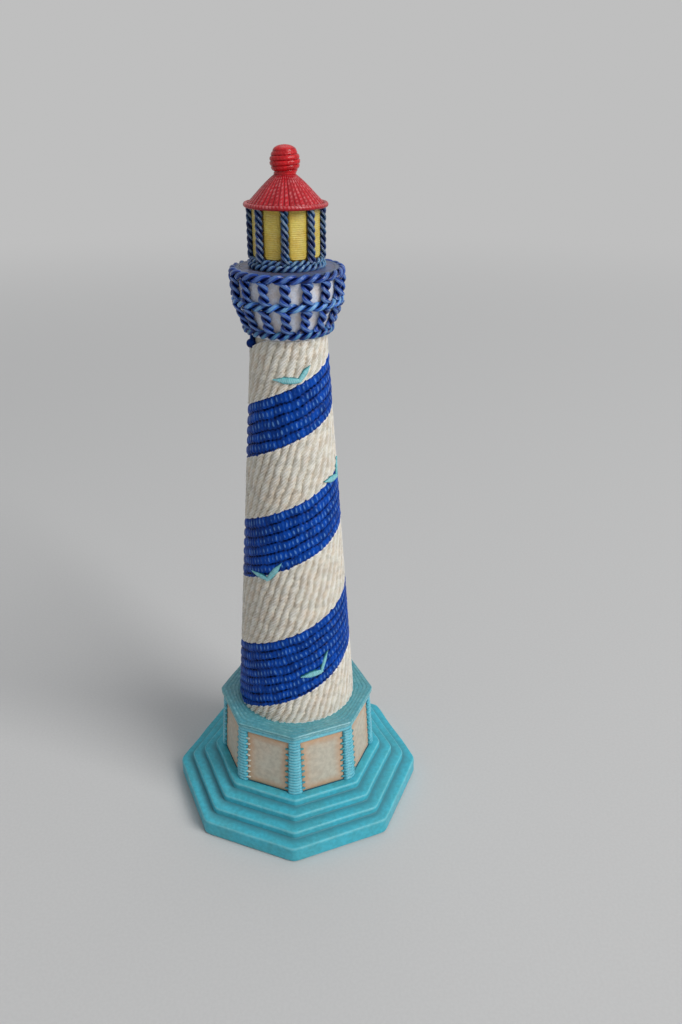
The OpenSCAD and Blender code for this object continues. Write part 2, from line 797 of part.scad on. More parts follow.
// A ball of stacked coils with a domed top and a peg below
module finial() {
    ball_r = finial_d / 2;
    neck_r = finial_neck_d / 2;
    coil_r = coil_pitch * 0.62;
    core_r = neck_r - coil_pitch / 5;
    stack_h = coil_pitch * coil_count;
    half_count = coil_count / 2;
    pole_stretch = 0.6;
    core = [
        [0, 0],
        [core_r, 0],
        [core_r, stack_h + dome_h * 0.2],
        [core_r * 0.85, stack_h + dome_h * 0.7],
        [core_r * 0.55, stack_h + dome_h],
        [0, stack_h + dome_h]
    ];
    function coil_reach(i) =
        max(neck_r, ball_r * sqrt(1 - pow((i + 0.5 - half_count) / (half_count + pole_stretch), 2)));
    color(red)
    translate([0, 0, finial_z])
    union() {
        rotate_extrude($fn = round_fn)
        union() {
            polygon(core);
            for (i = [0 : coil_count - 1])
                translate([coil_reach(i) - coil_r, coil_pitch * (i + 0.5)])
                intersection() {
                    circle(r = coil_r, $fn = 32);
                    translate([-coil_r, -coil_pitch / 2]) square([2 * coil_r, coil_pitch]);
                }
        }
        translate([0, 0, -peg_h])
        cylinder(h = peg_h + 1, d = peg_d, $fn = round_fn);
    }
}

felt_pad();
stepped_base();
plinth_drum();
side_panels();
corner_posts();
panel_stitches();
plinth_cap();
tower_core();
blue_band();
cream_band();
gulls();
gallery_wall();
gallery_deck();
gallery_low_rope();
gallery_mid_rope();
gallery_rim_rope();
lower_uprights();
upper_uprights();
lantern_core();
lantern_panes();
lantern_foot_rope();
lantern_corner_ropes();
roof_cone();
roof_brim();
finial();
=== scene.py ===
"""The looks of a lighthouse ornament, cast in resin and painted like cord and needlework.

Lengths are in millimetres until a mesh is made. Azimuths are in radians about the tower's axis, with +Z up,
and the front corner of the base is at azimuth -pi/2.
"""

import logging
import math
from dataclasses import dataclass, field, replace
from enum import Enum

import bpy
import numpy as np
from mathutils import Matrix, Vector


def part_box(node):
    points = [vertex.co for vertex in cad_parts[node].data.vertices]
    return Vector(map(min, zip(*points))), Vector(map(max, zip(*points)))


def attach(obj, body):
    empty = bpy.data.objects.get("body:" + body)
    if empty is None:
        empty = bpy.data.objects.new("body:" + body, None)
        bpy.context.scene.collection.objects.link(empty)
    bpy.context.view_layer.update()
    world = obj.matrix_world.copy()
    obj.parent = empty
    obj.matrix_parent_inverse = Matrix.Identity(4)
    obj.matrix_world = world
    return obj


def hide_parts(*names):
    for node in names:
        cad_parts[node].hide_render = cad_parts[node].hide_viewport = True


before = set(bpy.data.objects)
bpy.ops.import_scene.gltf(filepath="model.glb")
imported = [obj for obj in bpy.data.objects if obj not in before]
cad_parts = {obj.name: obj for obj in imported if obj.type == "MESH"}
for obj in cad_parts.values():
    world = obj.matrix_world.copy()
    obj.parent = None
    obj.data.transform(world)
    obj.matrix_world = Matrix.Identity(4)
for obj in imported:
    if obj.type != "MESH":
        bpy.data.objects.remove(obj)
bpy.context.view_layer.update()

log = logging.getLogger("lighthouse")

METRES = 0.001
FRONT = -math.pi / 2
TURN = 2 * math.pi
SIDES = 8
SIDE_TURN = TURN / SIDES
BODY = "root"
UP = np.array([0.0, 0.0, 1.0])
WHITE = (1.0, 1.0, 1.0, 1.0)
# Powers of the round backs of threads: nearly half a circle, and a little fuller.
ROUND = 2.2
FULL = 2.4
# Nearly all values of a noise texture lie between these two.
NOISE_LOW = 0.3
NOISE_HIGH = 0.7

Array = np.ndarray
Numbers = Array | float
Layers = dict[str, Array]
Pair = tuple[float, float]
Triple = tuple[float, float, float]
Colour = tuple[int, int, int]
Socket = bpy.types.NodeSocket
Value = float | tuple[float, ...] | Socket


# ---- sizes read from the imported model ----


def low_of(node: str) -> float:
    """Height of a node's lowest point."""
    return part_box(node)[0].z / METRES


def high_of(node: str) -> float:
    """Height of a node's highest point."""
    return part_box(node)[1].z / METRES


def reach_of(node: str) -> float:
    """How far a node reaches along +X, which is a corner of every eight-sided piece."""
    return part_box(node)[1].x / METRES


# ---- meshes from grids ----


@dataclass
class Patch:
    """A ring of points carried along a path, as a grid whose columns close on themselves.

    Attributes:
        points: Rows by columns by 3, in millimetres.
        layers: One value a point for each named layer, rows by columns.
        ring: True where the last row joins the first, and False where each end is capped.
    """

    points: Array
    layers: Layers = field(default_factory=dict)
    ring: bool = False

    def faces(self) -> tuple[Array, Array]:
        """Works out the faces, and turns them outwards.

        Returns:
            The quads, and the triangles of the two caps, as rows of point numbers.
        """
        rows, columns = self.points.shape[:2]
        row = np.arange(rows if self.ring else rows - 1)
        here, start = np.meshgrid(row, np.arange(columns), indexing="ij")
        there, end = (here + 1) % rows, (start + 1) % columns
        pairs = (here, start), (here, end), (there, end), (there, start)
        quads = np.stack([i * columns + j for i, j in pairs], axis=-1).reshape(-1, 4)
        triangles = np.zeros((0, 3), int)
        if not self.ring:
            near = np.arange(columns)
            nxt = (near + 1) % columns
            last = (rows - 1) * columns
            foot = np.stack([np.full(columns, rows * columns), nxt, near], axis=-1)
            head = np.stack([np.full(columns, rows * columns + 1), last + near, last + nxt], axis=-1)
            triangles = np.concatenate([foot, head])
        if self.volume(quads, triangles) < 0:
            quads, triangles = quads[:, ::-1], triangles[:, ::-1]
        return quads, triangles

    def corners(self) -> Array:
        """Lists the points.

        Returns:
            All points as rows of 3, with the middles of the two caps at the end.
        """
        points = self.points.reshape(-1, 3)
        if self.ring:
            return points
        return np.concatenate([points, self.points[0].mean(0)[None], self.points[-1].mean(0)[None]])

    def layer(self, name: str) -> Array:
        """Lists one layer's values in the order of the points.

        Args:
            name: Name of the layer.

        Returns:
            The values, with a half where the patch has no such layer.
        """
        rows, columns = self.points.shape[:2]
        values = np.broadcast_to(self.layers.get(name, 0.5), (rows, columns))
        if self.ring:
            return values.reshape(-1)
        return np.concatenate([values.reshape(-1), [values[0].mean(), values[-1].mean()]])

    def volume(self, quads: Array, triangles: Array) -> float:
        """Works out the signed volume inside the faces: the sum of a . (b x c) / 6 over their triangles.

        Args:
            quads: The quads, as rows of point numbers.
            triangles: The triangles of the caps.

        Returns:
            The volume, which is above 0 where the faces point outwards.
        """
        points = self.corners()
        parts = np.concatenate([quads[:, [0, 1, 2]], quads[:, [0, 2, 3]], triangles])
        a, b, c = (points[parts[:, i]] for i in range(3))
        return float((a * np.cross(b, c)).sum() / 6)


def closed_skin(face: Array, back: Array, layers: Layers, back_tint: float = 0.0) -> Patch:
    """Closes an outer face with its back, where the crest is 0.

    Args:
        face: Points of the face, rows by columns by 3.
        back: Points of the back, with as many rows.
        layers: Layers of the face.
        back_tint: The tint on the back.

    Returns:
        The closed patch.
    """
    behind = {"crest": 0.0, "tint": back_tint}
    closed = {}
    for name, values in layers.items():
        front = np.broadcast_to(values, face.shape[:2])
        closed[name] = np.concatenate([front, np.full(back.shape[:2], behind[name])], axis=1)
    return Patch(np.concatenate([face, back], axis=1), closed)


def build_mesh(name: str, patches: list[Patch], sharp_angle: float = 48) -> bpy.types.Mesh:
    """Puts patches into one mesh, in metres, with their layers as point attributes.

    Args:
        name: Name of the mesh.
        patches: The patches, each a closed surface.
        sharp_angle: Edges that bend by more degrees than this are sharp.

    Returns:
        The mesh.
    """
    names = sorted({layer for patch in patches for layer in patch.layers})
    points, loops, starts, layers = [], [], [], {layer: [] for layer in names}
    base, used = 0, 0
    for patch in patches:
        corners = patch.corners()
        for faces in patch.faces():
            loops.append((faces + base).reshape(-1))
            starts.append(used + np.arange(len(faces)) * faces.shape[1])
            used += faces.size
        for layer in names:
            layers[layer].append(patch.layer(layer))
        points.append(corners)
        base += len(corners)
    mesh = bpy.data.meshes.new(name)
    mesh.vertices.add(base)
    mesh.vertices.foreach_set("co", (np.concatenate(points) * METRES).reshape(-1).astype(np.float32))
    mesh.loops.add(used)
    mesh.loops.foreach_set("vertex_index", np.concatenate(loops).astype(np.int32))
    first = np.concatenate(starts).astype(np.int32)
    mesh.polygons.add(len(first))
    mesh.polygons.foreach_set("loop_start", first)
    for layer in names:
        attribute = mesh.attributes.new(layer, "FLOAT", "POINT")
        attribute.data.foreach_set("value", np.concatenate(layers[layer]).astype(np.float32))
    mesh.update(calc_edges=True)
    mesh.validate()
    mesh.shade_smooth()
    mesh.set_sharp_from_angle(angle=math.radians(sharp_angle))
    return mesh


def add_object(name: str, data: bpy.types.ID) -> bpy.types.Object:
    """Makes an object from a mesh, a lamp's data or a camera's data, and puts it into the scene.

    Args:
        name: Name of the object.
        data: Its data.

    Returns:
        The object.
    """
    made = bpy.data.objects.new(name, data)
    bpy.context.scene.collection.objects.link(made)
    return made


def add_piece(
    name: str, patches: list[Patch], finish: "Finish", replaced: tuple[str, ...], sharp_angle: float = 48
) -> None:
    """Makes one piece of the ornament in place of the nodes that it stands for.

    Args:
        name: Name of the piece.
        patches: Its surfaces.
        finish: Its finish.
        replaced: The nodes that it stands for.
        sharp_angle: Edges that bend by more degrees than this are sharp.
    """
    mesh = build_mesh(name, patches, sharp_angle)
    piece = add_object(name, mesh)
    mesh.materials.append(finish.material())
    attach(piece, BODY)
    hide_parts(*replaced)
    log.info("%s: %d faces, in place of %s", name, len(mesh.polygons), ", ".join(replaced))


def dress_node(node: str, finish: "Finish") -> None:
    """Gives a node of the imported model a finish, with its shape as it is.

    Args:
        node: Name of the node.
        finish: Its finish.
    """
    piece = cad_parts[node]
    piece.data.materials.clear()
    piece.data.materials.append(finish.material())
    log.info("%s: kept, with the finish %s", node, finish.name)


# ---- shapes that several pieces use ----


# A step such as 17 * strand in the number only keeps the numbers of different pieces apart.
def scatter(number: Numbers, seed: float) -> Numbers:
    """A steady pseudo-random value from 0 to 1 for each whole number."""
    return np.mod(np.sin(np.asarray(number, float) * 12.9898 + seed * 78.233) * 43758.5453, 1)


def round_angles(count: int) -> Array:
    """Angles of evenly spaced points round one turn, from 0."""
    return np.arange(count) / count * TURN


def round_back(share: Array, power: float) -> Array:
    """A round back from 0 at shares 0 and 1 to 1 at a half: (1 - |2 share - 1| ^ power) ^ 0.5."""
    return np.sqrt(np.clip(1 - np.abs(2 * share - 1) ** power, 0, 1))


def laid_back(across: Array, angle: Array, strands: int) -> Array:
    """Height of the front of a laid rope, from 0 at its sides to about 1 on a strand's crest.

    Strand k has its middle at (ring sin a, ring cos a) with a = angle + 2 pi k / strands. Its front is a
    circle about it: ring cos a + (strand_r^2 - (across - ring sin a)^2) ^ 0.5. The highest strand shows.

    Args:
        across: Place across the rope, from -1 to 1.
        angle: Turn of the strands.
        strands: Number of strands.

    Returns:
        The height, for each point.
    """
    ring = 0.54 if strands > 2 else 0.48
    strand_r = 1 - ring
    height = np.zeros(np.broadcast(across, angle).shape)
    for k in range(strands):
        turned = angle + TURN * k / strands
        room = strand_r**2 - (across - ring * np.sin(turned)) ** 2
        front = ring * np.cos(turned) + np.sqrt(np.clip(room, 0, None))
        height = np.maximum(height, np.where(room > 0, front, 0))
    return height


def waviness(points: Array, length: float, seed: int) -> Array:
    """Slow unevenness of a casting, about -1 to 1: a mean of sines across random directions.

    Args:
        points: Any array of points, 3 last.
        length: Length of a wave.
        seed: Seed of the directions and phases.

    Returns:
        One value a point.
    """
    draw = np.random.default_rng(seed)
    waves, shortest, longest = 5, 0.7, 1.5
    total = np.zeros(points.shape[:-1])
    for _ in range(waves):
        direction = draw.normal(size=3)
        direction *= TURN / (length * draw.uniform(shortest, longest) * np.linalg.norm(direction))
        total += np.sin(points @ direction + draw.uniform(0, TURN))
    return total / math.sqrt(waves)


def polar_points(radius: Numbers, azimuth: Numbers, z: Numbers) -> Array:
    """Points at a radius and azimuth about the axis, at height z."""
    radius, azimuth, z = np.broadcast_arrays(radius, azimuth, z)
    return np.stack([radius * np.cos(azimuth), radius * np.sin(azimuth), z], axis=-1)


def side_directions(k: int) -> tuple[Array, Array]:
    """The unit directions out of side k of an eight-sided piece, and along it."""
    middle = FRONT + SIDE_TURN * (k + 0.5)
    return polar_points(1.0, middle, 0.0), polar_points(1.0, middle + math.pi / 2, 0.0)


def corner_azimuths(per_side: int) -> Array:
    """Spaces azimuths round an eight-sided piece, closer together near its corners.

    In each side the share s is moved to s - gather * sin(2 pi s), which gathers the lines at both ends.

    Args:
        per_side: Azimuths in each side.

    Returns:
        The azimuths.
    """
    gather = 0.12
    share = np.arange(per_side) / per_side
    within = share - gather * np.sin(TURN * share)
    side = np.arange(SIDES)[:, None]
    return (FRONT + (side + within) * SIDE_TURN).reshape(-1)


def octagon_radius(azimuth: Array, corner_r: Numbers, crispness: float = 90) -> Array:
    """Radius of an eight-sided outline whose corners are a little soft.

    It is the apothem over the p-norm of the cosines to the eight sides, so a high p gives crisp corners.

    Args:
        azimuth: Azimuth of each point.
        corner_r: Radius over the corners before they are softened.
        crispness: The power p.

    Returns:
        The radius, in the shape that the azimuth and corner_r broadcast to.
    """
    middles = FRONT + (np.arange(SIDES) + 0.5) * SIDE_TURN
    facing = np.clip(np.cos(azimuth[..., None] - middles), 0, None)
    norm = (facing**crispness).sum(-1) ** (1 / crispness)
    return corner_r * math.cos(SIDE_TURN / 2) / norm


def soft_profile(corners: list[Triple], spacing: float) -> Array:
    """A profile of straight runs whose corners are rounded by a quadratic curve.

    Args:
        corners: Points as (radius, height, rounding), where the rounding is the length of each run that the
            curve takes up.
        spacing: Largest distance between points on a straight run.

    Returns:
        Rows of (radius, height).
    """
    bends, shortest = 6, 1e-6
    spots = np.array([corner[:2] for corner in corners], float)
    points = [spots[0]]
    for i in range(1, len(spots) - 1):
        rounding = corners[i][2]
        into, out = spots[i] - spots[i - 1], spots[i + 1] - spots[i]
        start = spots[i] - into / np.linalg.norm(into) * min(rounding, np.linalg.norm(into) / 2)
        end = spots[i] + out / np.linalg.norm(out) * min(rounding, np.linalg.norm(out) / 2)
        for t in np.linspace(0, 1, bends):
            points.append((1 - t) ** 2 * start + 2 * t * (1 - t) * spots[i] + t**2 * end)
    points.append(spots[-1])
    fine = [points[0]]
    for near, far in zip(points, points[1:]):
        steps = max(1, math.ceil(np.linalg.norm(far - near) / spacing))
        if np.linalg.norm(far - near) > shortest:
            fine.extend(near + (far - near) * k / steps for k in range(1, steps + 1))
    return np.array(fine)


@dataclass(frozen=True)
class RopeForm:
    """A rope of two or three strands that are wound about each other.

    Attributes:
        rope_r: Radius over the strands.
        count: Number of strands.
        sides: Points round each strand.
        rings_per_turn: Rings in one full turn of the strands.
    """

    rope_r: float
    count: int = 2
    sides: int = 24
    rings_per_turn: int = 26

    def strands(
        self, centre: Array, out: Array, side: Array, turns: Array, ring: bool,
        seed: float, girth: Numbers = 1.0,
    ) -> list[Patch]:
        """Winds the strands about a centre line.

        A strand's middle lies at about half the rope's radius from the centre line, in the direction
        cos(angle) out + sin(angle) side, where the angle grows with the turns. Its section is an oval,
        longer across than outwards, with shallow grooves between its plies.

        Args:
            centre: Points of the centre line, rows of 3.
            out: Unit directions away from what the rope lies on, one a point.
            side: Unit directions square to the line and to out, one a point.
            turns: Turns of the strands up to each point, with their sign.
            ring: True where the line closes on itself.
            seed: Seed of the strands' tints.
            girth: Width at each point, as a share of the rope's diameter.

        Returns:
            One patch a strand.
        """
        plies, ply_turn, ply_depth, ply_crest = 6, 0.4, 0.06, 0.16
        middle_share, across_share = (0.5, 0.6) if self.count == 2 else (0.54, 0.5)
        strand_share = 1 - middle_share
        widening = np.broadcast_to(girth, len(centre))[:, None, None]
        around = round_angles(self.sides)
        patches = []
        for strand in range(self.count):
            angle = TURN * (turns + strand / self.count)
            outward = np.cos(angle)[:, None] * out + np.sin(angle)[:, None] * side
            across = -np.sin(angle)[:, None] * out + np.cos(angle)[:, None] * side
            ply = np.cos(plies * (around[None, :] + angle[:, None] * ply_turn))
            swell = 1 + ply_depth * ply
            height = middle_share + strand_share * np.cos(around) * swell
            width = across_share * np.sin(around) * swell
            offset = outward[:, None, :] * height[..., None] + across[:, None, :] * width[..., None]
            sideways = (offset * side[:, None, :]).sum(-1, keepdims=True) * side[:, None, :]
            points = centre[:, None, :] + self.rope_r * (offset + (widening - 1) * sideways)
            crest = 0.5 + 0.5 * np.cos(around)[None, :] + ply_crest * ply
            part_turn = np.floor(self.count * turns + strand)[:, None]
            tint = scatter(part_turn + 17 * strand, seed)
            patches.append(Patch(points, {"crest": crest, "tint": tint}, ring))
        return patches

    def level_ring(self, ring_r: float, z: float, turns: int, seed: float) -> list[Patch]:
        """A rope laid in a level ring about the tower's axis.

        Args:
            ring_r: Radius of its centre line.
            z: Height of its centre line.
            turns: Full turns of the strands in the ring.
            seed: Seed of the strands' tints.

        Returns:
            The strands' patches.
        """
        count = turns * self.rings_per_turn
        share = np.arange(count) / count
        azimuth = FRONT + TURN * share
        out = polar_points(1.0, azimuth, 0.0)
        side = np.broadcast_to(UP, out.shape)
        return self.strands(polar_points(ring_r, azimuth, z), out, side, turns * share, True, seed)

    def upright(
        self, azimuth: float, foot: Pair, top: Pair, lay: float, seed: float,
        flare: float = 0.0, taper: float = 0.0,
    ) -> list[Patch]:
        """A rope that stands at one azimuth.

        Args:
            azimuth: Its azimuth.
            foot: Radius and height of its foot.
            top: Radius and height of its top.
            lay: Length of one full turn of the strands.
            seed: Seed of the strands' tints and of their start.
            flare: Extra width at each end, as a share, where the casting runs into what it joins.
            taper: Loss of width from foot to top, as a share.

        Returns:
            The strands' patches.
        """
        flare_h, start_seed = 1.8, 5.1
        height = top[1] - foot[1]
        count = max(8, math.ceil(height / lay * self.rings_per_turn)) + 1
        share = np.linspace(0, 1, count)
        radius = foot[0] + (top[0] - foot[0]) * share
        out = np.broadcast_to(polar_points(1.0, azimuth, 0.0), (count, 3))
        side = np.broadcast_to(polar_points(1.0, azimuth + math.pi / 2, 0.0), (count, 3))
        centre = polar_points(radius, azimuth, foot[1] + height * share)
        turns = scatter(seed, start_seed) - height / lay * share
        ends = np.exp(-height * share / flare_h) + np.exp(-height * (1 - share) / flare_h)
        girth = 1 + flare * ends - taper * (share - 0.5)
        return self.strands(centre, out, side, turns, False, seed, girth)


# ---- shader nodes ----


def linear(colour: Colour) -> tuple[float, float, float, float]:
    """Turns a screen colour into the linear colour that a shader takes, by the sRGB curve.

    Args:
        colour: Three values from 0 to 255.

    Returns:
        The linear colour, with an alpha of 1.
    """
    values = np.array(colour, float) / 255
    curved = np.where(values <= 0.04045, values / 12.92, ((values + 0.055) / 1.055) ** 2.4)
    return (float(curved[0]), float(curved[1]), float(curved[2]), 1.0)


class Sum(Enum):
    """A sum that one node works out on two values."""

    ADD = "ADD"
    SUBTRACT = "SUBTRACT"
    MULTIPLY = "MULTIPLY"
    MAXIMUM = "MAXIMUM"


class Graph:
    """Adds nodes to one node tree and joins them."""

    def __init__(self, tree: bpy.types.NodeTree) -> None:
        """Starts from a tree with no nodes."""
        self.tree = tree
        self.column = 0

    def add(self, kind: str, settings: dict | None = None, **sockets: Value) -> bpy.types.Node:
        """Adds a node.

        Args:
            kind: The node's type name, without the words Shader and Node before it.
            settings: Values of the node's own settings.
            **sockets: Values or output sockets for the inputs, with _ for each space in a name, and
                a number after _ for an input that is known by its place.

        Returns:
            The node.
        """
        node_w = 180
        node = self.tree.nodes.new(("" if kind.startswith("NodeGroup") else "ShaderNode") + kind)
        node.location = (self.column, 0)
        self.column += node_w
        for name, value in (settings or {}).items():
            setattr(node, name, value)
        for name, value in sockets.items():
            key = name.replace("_", " ").strip()
            socket = node.inputs[int(key)] if key.isdigit() else node.inputs[key]
            if isinstance(value, Socket):
                self.tree.links.new(value, socket)
            else:
                socket.default_value = value
        return node

    def mix(self, share: Value, first: Value, second: Value) -> Socket:
        """Blends two colours by a share."""
        return self.add("Mix", {"data_type": "RGBA"}, _0=share, _6=first, _7=second).outputs[2]

    def maths(self, operation: Sum, first: Value, second: Value) -> Socket:
        """Works out one sum on two values."""
        return self.add("Math", {"operation": operation.value}, _0=first, _1=second).outputs[0]

    def ramp(self, value: Value, start: Value, end: Value, low: float = 0.0, high: float = 1.0) -> Socket:
        """Maps a value smoothly from the range start to end onto the range low to high."""
        ends = {"From_Min": start, "From_Max": end, "To_Min": low, "To_Max": high}
        return self.add("MapRange", {"interpolation_type": "SMOOTHSTEP"}, Value=value, **ends).outputs[0]

    def noise(self, vector: Value, scale: Value, detail: float = 2.0, roughness: float = 0.5) -> Socket:
        """Adds a noise texture, whose value is given back."""
        return self.add("TexNoise", Vector=vector, Scale=scale, Detail=detail, Roughness=roughness).outputs[0]


def blank_graph(owner: bpy.types.Material | bpy.types.World) -> Graph:
    """Empties the node tree of a material or a world.

    Args:
        owner: The material or the world.

    Returns:
        A graph that adds nodes to the tree.
    """
    owner.use_nodes = True
    owner.node_tree.nodes.clear()
    return Graph(owner.node_tree)


def socket_kind(value: Value | None) -> str:
    """The type of socket that takes a value, where None stands for a vector."""
    if value is None:
        return "NodeSocketVector"
    return "NodeSocketColor" if isinstance(value, tuple) else "NodeSocketFloat"


def new_group(
    name: str, inputs: dict[str, Value | None], outputs: dict[str, str]
) -> tuple[Graph, dict[str, Socket]]:
    """Starts a shader node group.

    Args:
        name: The group's name.
        inputs: Input names with a default: a number, a colour of 4 values, or None for a vector.
        outputs: Output names with their socket types.

    Returns:
        The group's graph, and its input sockets by name.
    """
    tree = bpy.data.node_groups.new(name, "ShaderNodeTree")
    for key, value in inputs.items():
        socket = tree.interface.new_socket(name=key, in_out="INPUT", socket_type=socket_kind(value))
        if value is not None:
            socket.default_value = value
    for key, kind in outputs.items():
        tree.interface.new_socket(name=key, in_out="OUTPUT", socket_type=kind)
    graph = Graph(tree)
    entry = graph.add("NodeGroupInput")
    return graph, {key: entry.outputs[key] for key in inputs}


class Effect(Enum):
    """An effect that several finishes share."""

    HAND_PAINT = "hand_paint"
    GROOVE_WASH_AND_PAINTED_LIGHT = "groove_wash_and_painted_light"
    CAST_GRAIN = "cast_grain"


class Effects:
    """The shared effects, each a node group that is built once."""

    groups: dict[Effect, bpy.types.NodeTree] = {}

    @classmethod
    def get(cls, effect: Effect) -> bpy.types.NodeTree:
        """Gives one group, which is built the first time that it is asked for.

        Args:
            effect: The effect.

        Returns:
            Its node tree.
        """
        if effect not in cls.groups:
            cls.groups[effect] = getattr(cls, effect.value)()
        return cls.groups[effect]

    @staticmethod
    def hand_paint() -> bpy.types.NodeTree:
        """Builds paint laid by hand: two shades in soft patches, with a finer unevenness on top.

        Returns:
            The node tree.
        """
        patch_low, patch_high, fine_times, fine_dark, fine_bright = 0.38, 0.66, 7.0, 0.9, 1.08
        inputs = {"Vector": None, "Paint": WHITE, "Second": WHITE, "Patch Scale": 60.0, "Amount": 0.5}
        graph, source = new_group("hand_paint", inputs, {"Colour": "NodeSocketColor"})
        wide = graph.noise(source["Vector"], source["Patch Scale"], 3.0, 0.6)
        patches = graph.maths(Sum.MULTIPLY, graph.ramp(wide, patch_low, patch_high), source["Amount"])
        painted = graph.mix(patches, source["Paint"], source["Second"])
        fine_scale = graph.maths(Sum.MULTIPLY, source["Patch Scale"], fine_times)
        fine = graph.noise(source["Vector"], fine_scale, 2.0, 0.6)
        value = graph.ramp(fine, NOISE_LOW, NOISE_HIGH, fine_dark, fine_bright)
        shaded = graph.add("HueSaturation", Color=painted, Value=value)
        graph.add("NodeGroupOutput", Colour=shaded.outputs[0])
        return graph.tree

    @staticmethod
    def groove_wash_and_painted_light() -> bpy.types.NodeTree:
        """Builds dark wash in the grooves and light paint on the crests, which on some pieces are painted
        shade and painted highlight.

        Returns:
            The node tree.
        """
        wash_blur, light_below, light_above = 0.22, 0.12, 0.18
        inputs = {
            "Vector": None, "Crest": 0.5, "Paint": WHITE, "Wash": WHITE, "Light": WHITE, "Wash Height": 0.3,
            "Light Height": 0.8, "Light Amount": 0.5, "Break Scale": 500.0, "Broken": 0.55,
        }
        graph, source = new_group("groove_wash_and_painted_light", inputs, {"Colour": "NodeSocketColor"})
        broken = graph.noise(source["Vector"], source["Break Scale"], 2.0, 0.6)
        shift = graph.maths(Sum.MULTIPLY, graph.maths(Sum.SUBTRACT, broken, 0.5), source["Broken"])
        level = graph.maths(Sum.ADD, source["Crest"], shift)
        dry = graph.maths(Sum.ADD, source["Wash Height"], wash_blur)
        wet = graph.maths(Sum.SUBTRACT, source["Wash Height"], wash_blur)
        dark = graph.mix(graph.ramp(level, dry, wet), source["Paint"], source["Wash"])
        unlit = graph.maths(Sum.SUBTRACT, source["Light Height"], light_below)
        full = graph.maths(Sum.ADD, source["Light Height"], light_above)
        brushed = graph.maths(Sum.MULTIPLY, graph.ramp(level, unlit, full), source["Light Amount"])
        graph.add("NodeGroupOutput", Colour=graph.mix(brushed, dark, source["Light"]))
        return graph.tree

    @staticmethod
    def cast_grain() -> bpy.types.NodeTree:
        """Builds the fine unevenness of painted resin: soft brush marks, small pits and a few specks.

        Returns:
            The node tree.
        """
        wide_times, pit_times, pit_r = 0.16, 0.45, 0.16
        inputs = {"Vector": None, "Grain Scale": 900.0, "Pits": 0.3}
        outputs = {"Height": "NodeSocketFloat", "Gloss": "NodeSocketFloat"}
        graph, source = new_group("cast_grain", inputs, outputs)
        fine = graph.noise(source["Vector"], source["Grain Scale"], 2.0, 0.55)
        wide_scale = graph.maths(Sum.MULTIPLY, source["Grain Scale"], wide_times)
        wide = graph.noise(source["Vector"], wide_scale, 2.0, 0.5)
        pit_scale = graph.maths(Sum.MULTIPLY, source["Grain Scale"], pit_times)
        cells = graph.add("TexVoronoi", Vector=source["Vector"], Scale=pit_scale)
        hollow = graph.ramp(cells.outputs["Distance"], 0.0, pit_r, -1.0, 0.0)
        pits = graph.maths(Sum.MULTIPLY, hollow, source["Pits"])
        height = graph.maths(Sum.ADD, graph.maths(Sum.ADD, fine, wide), pits)
        graph.add("NodeGroupOutput", Height=height, Gloss=wide)
        return graph.tree


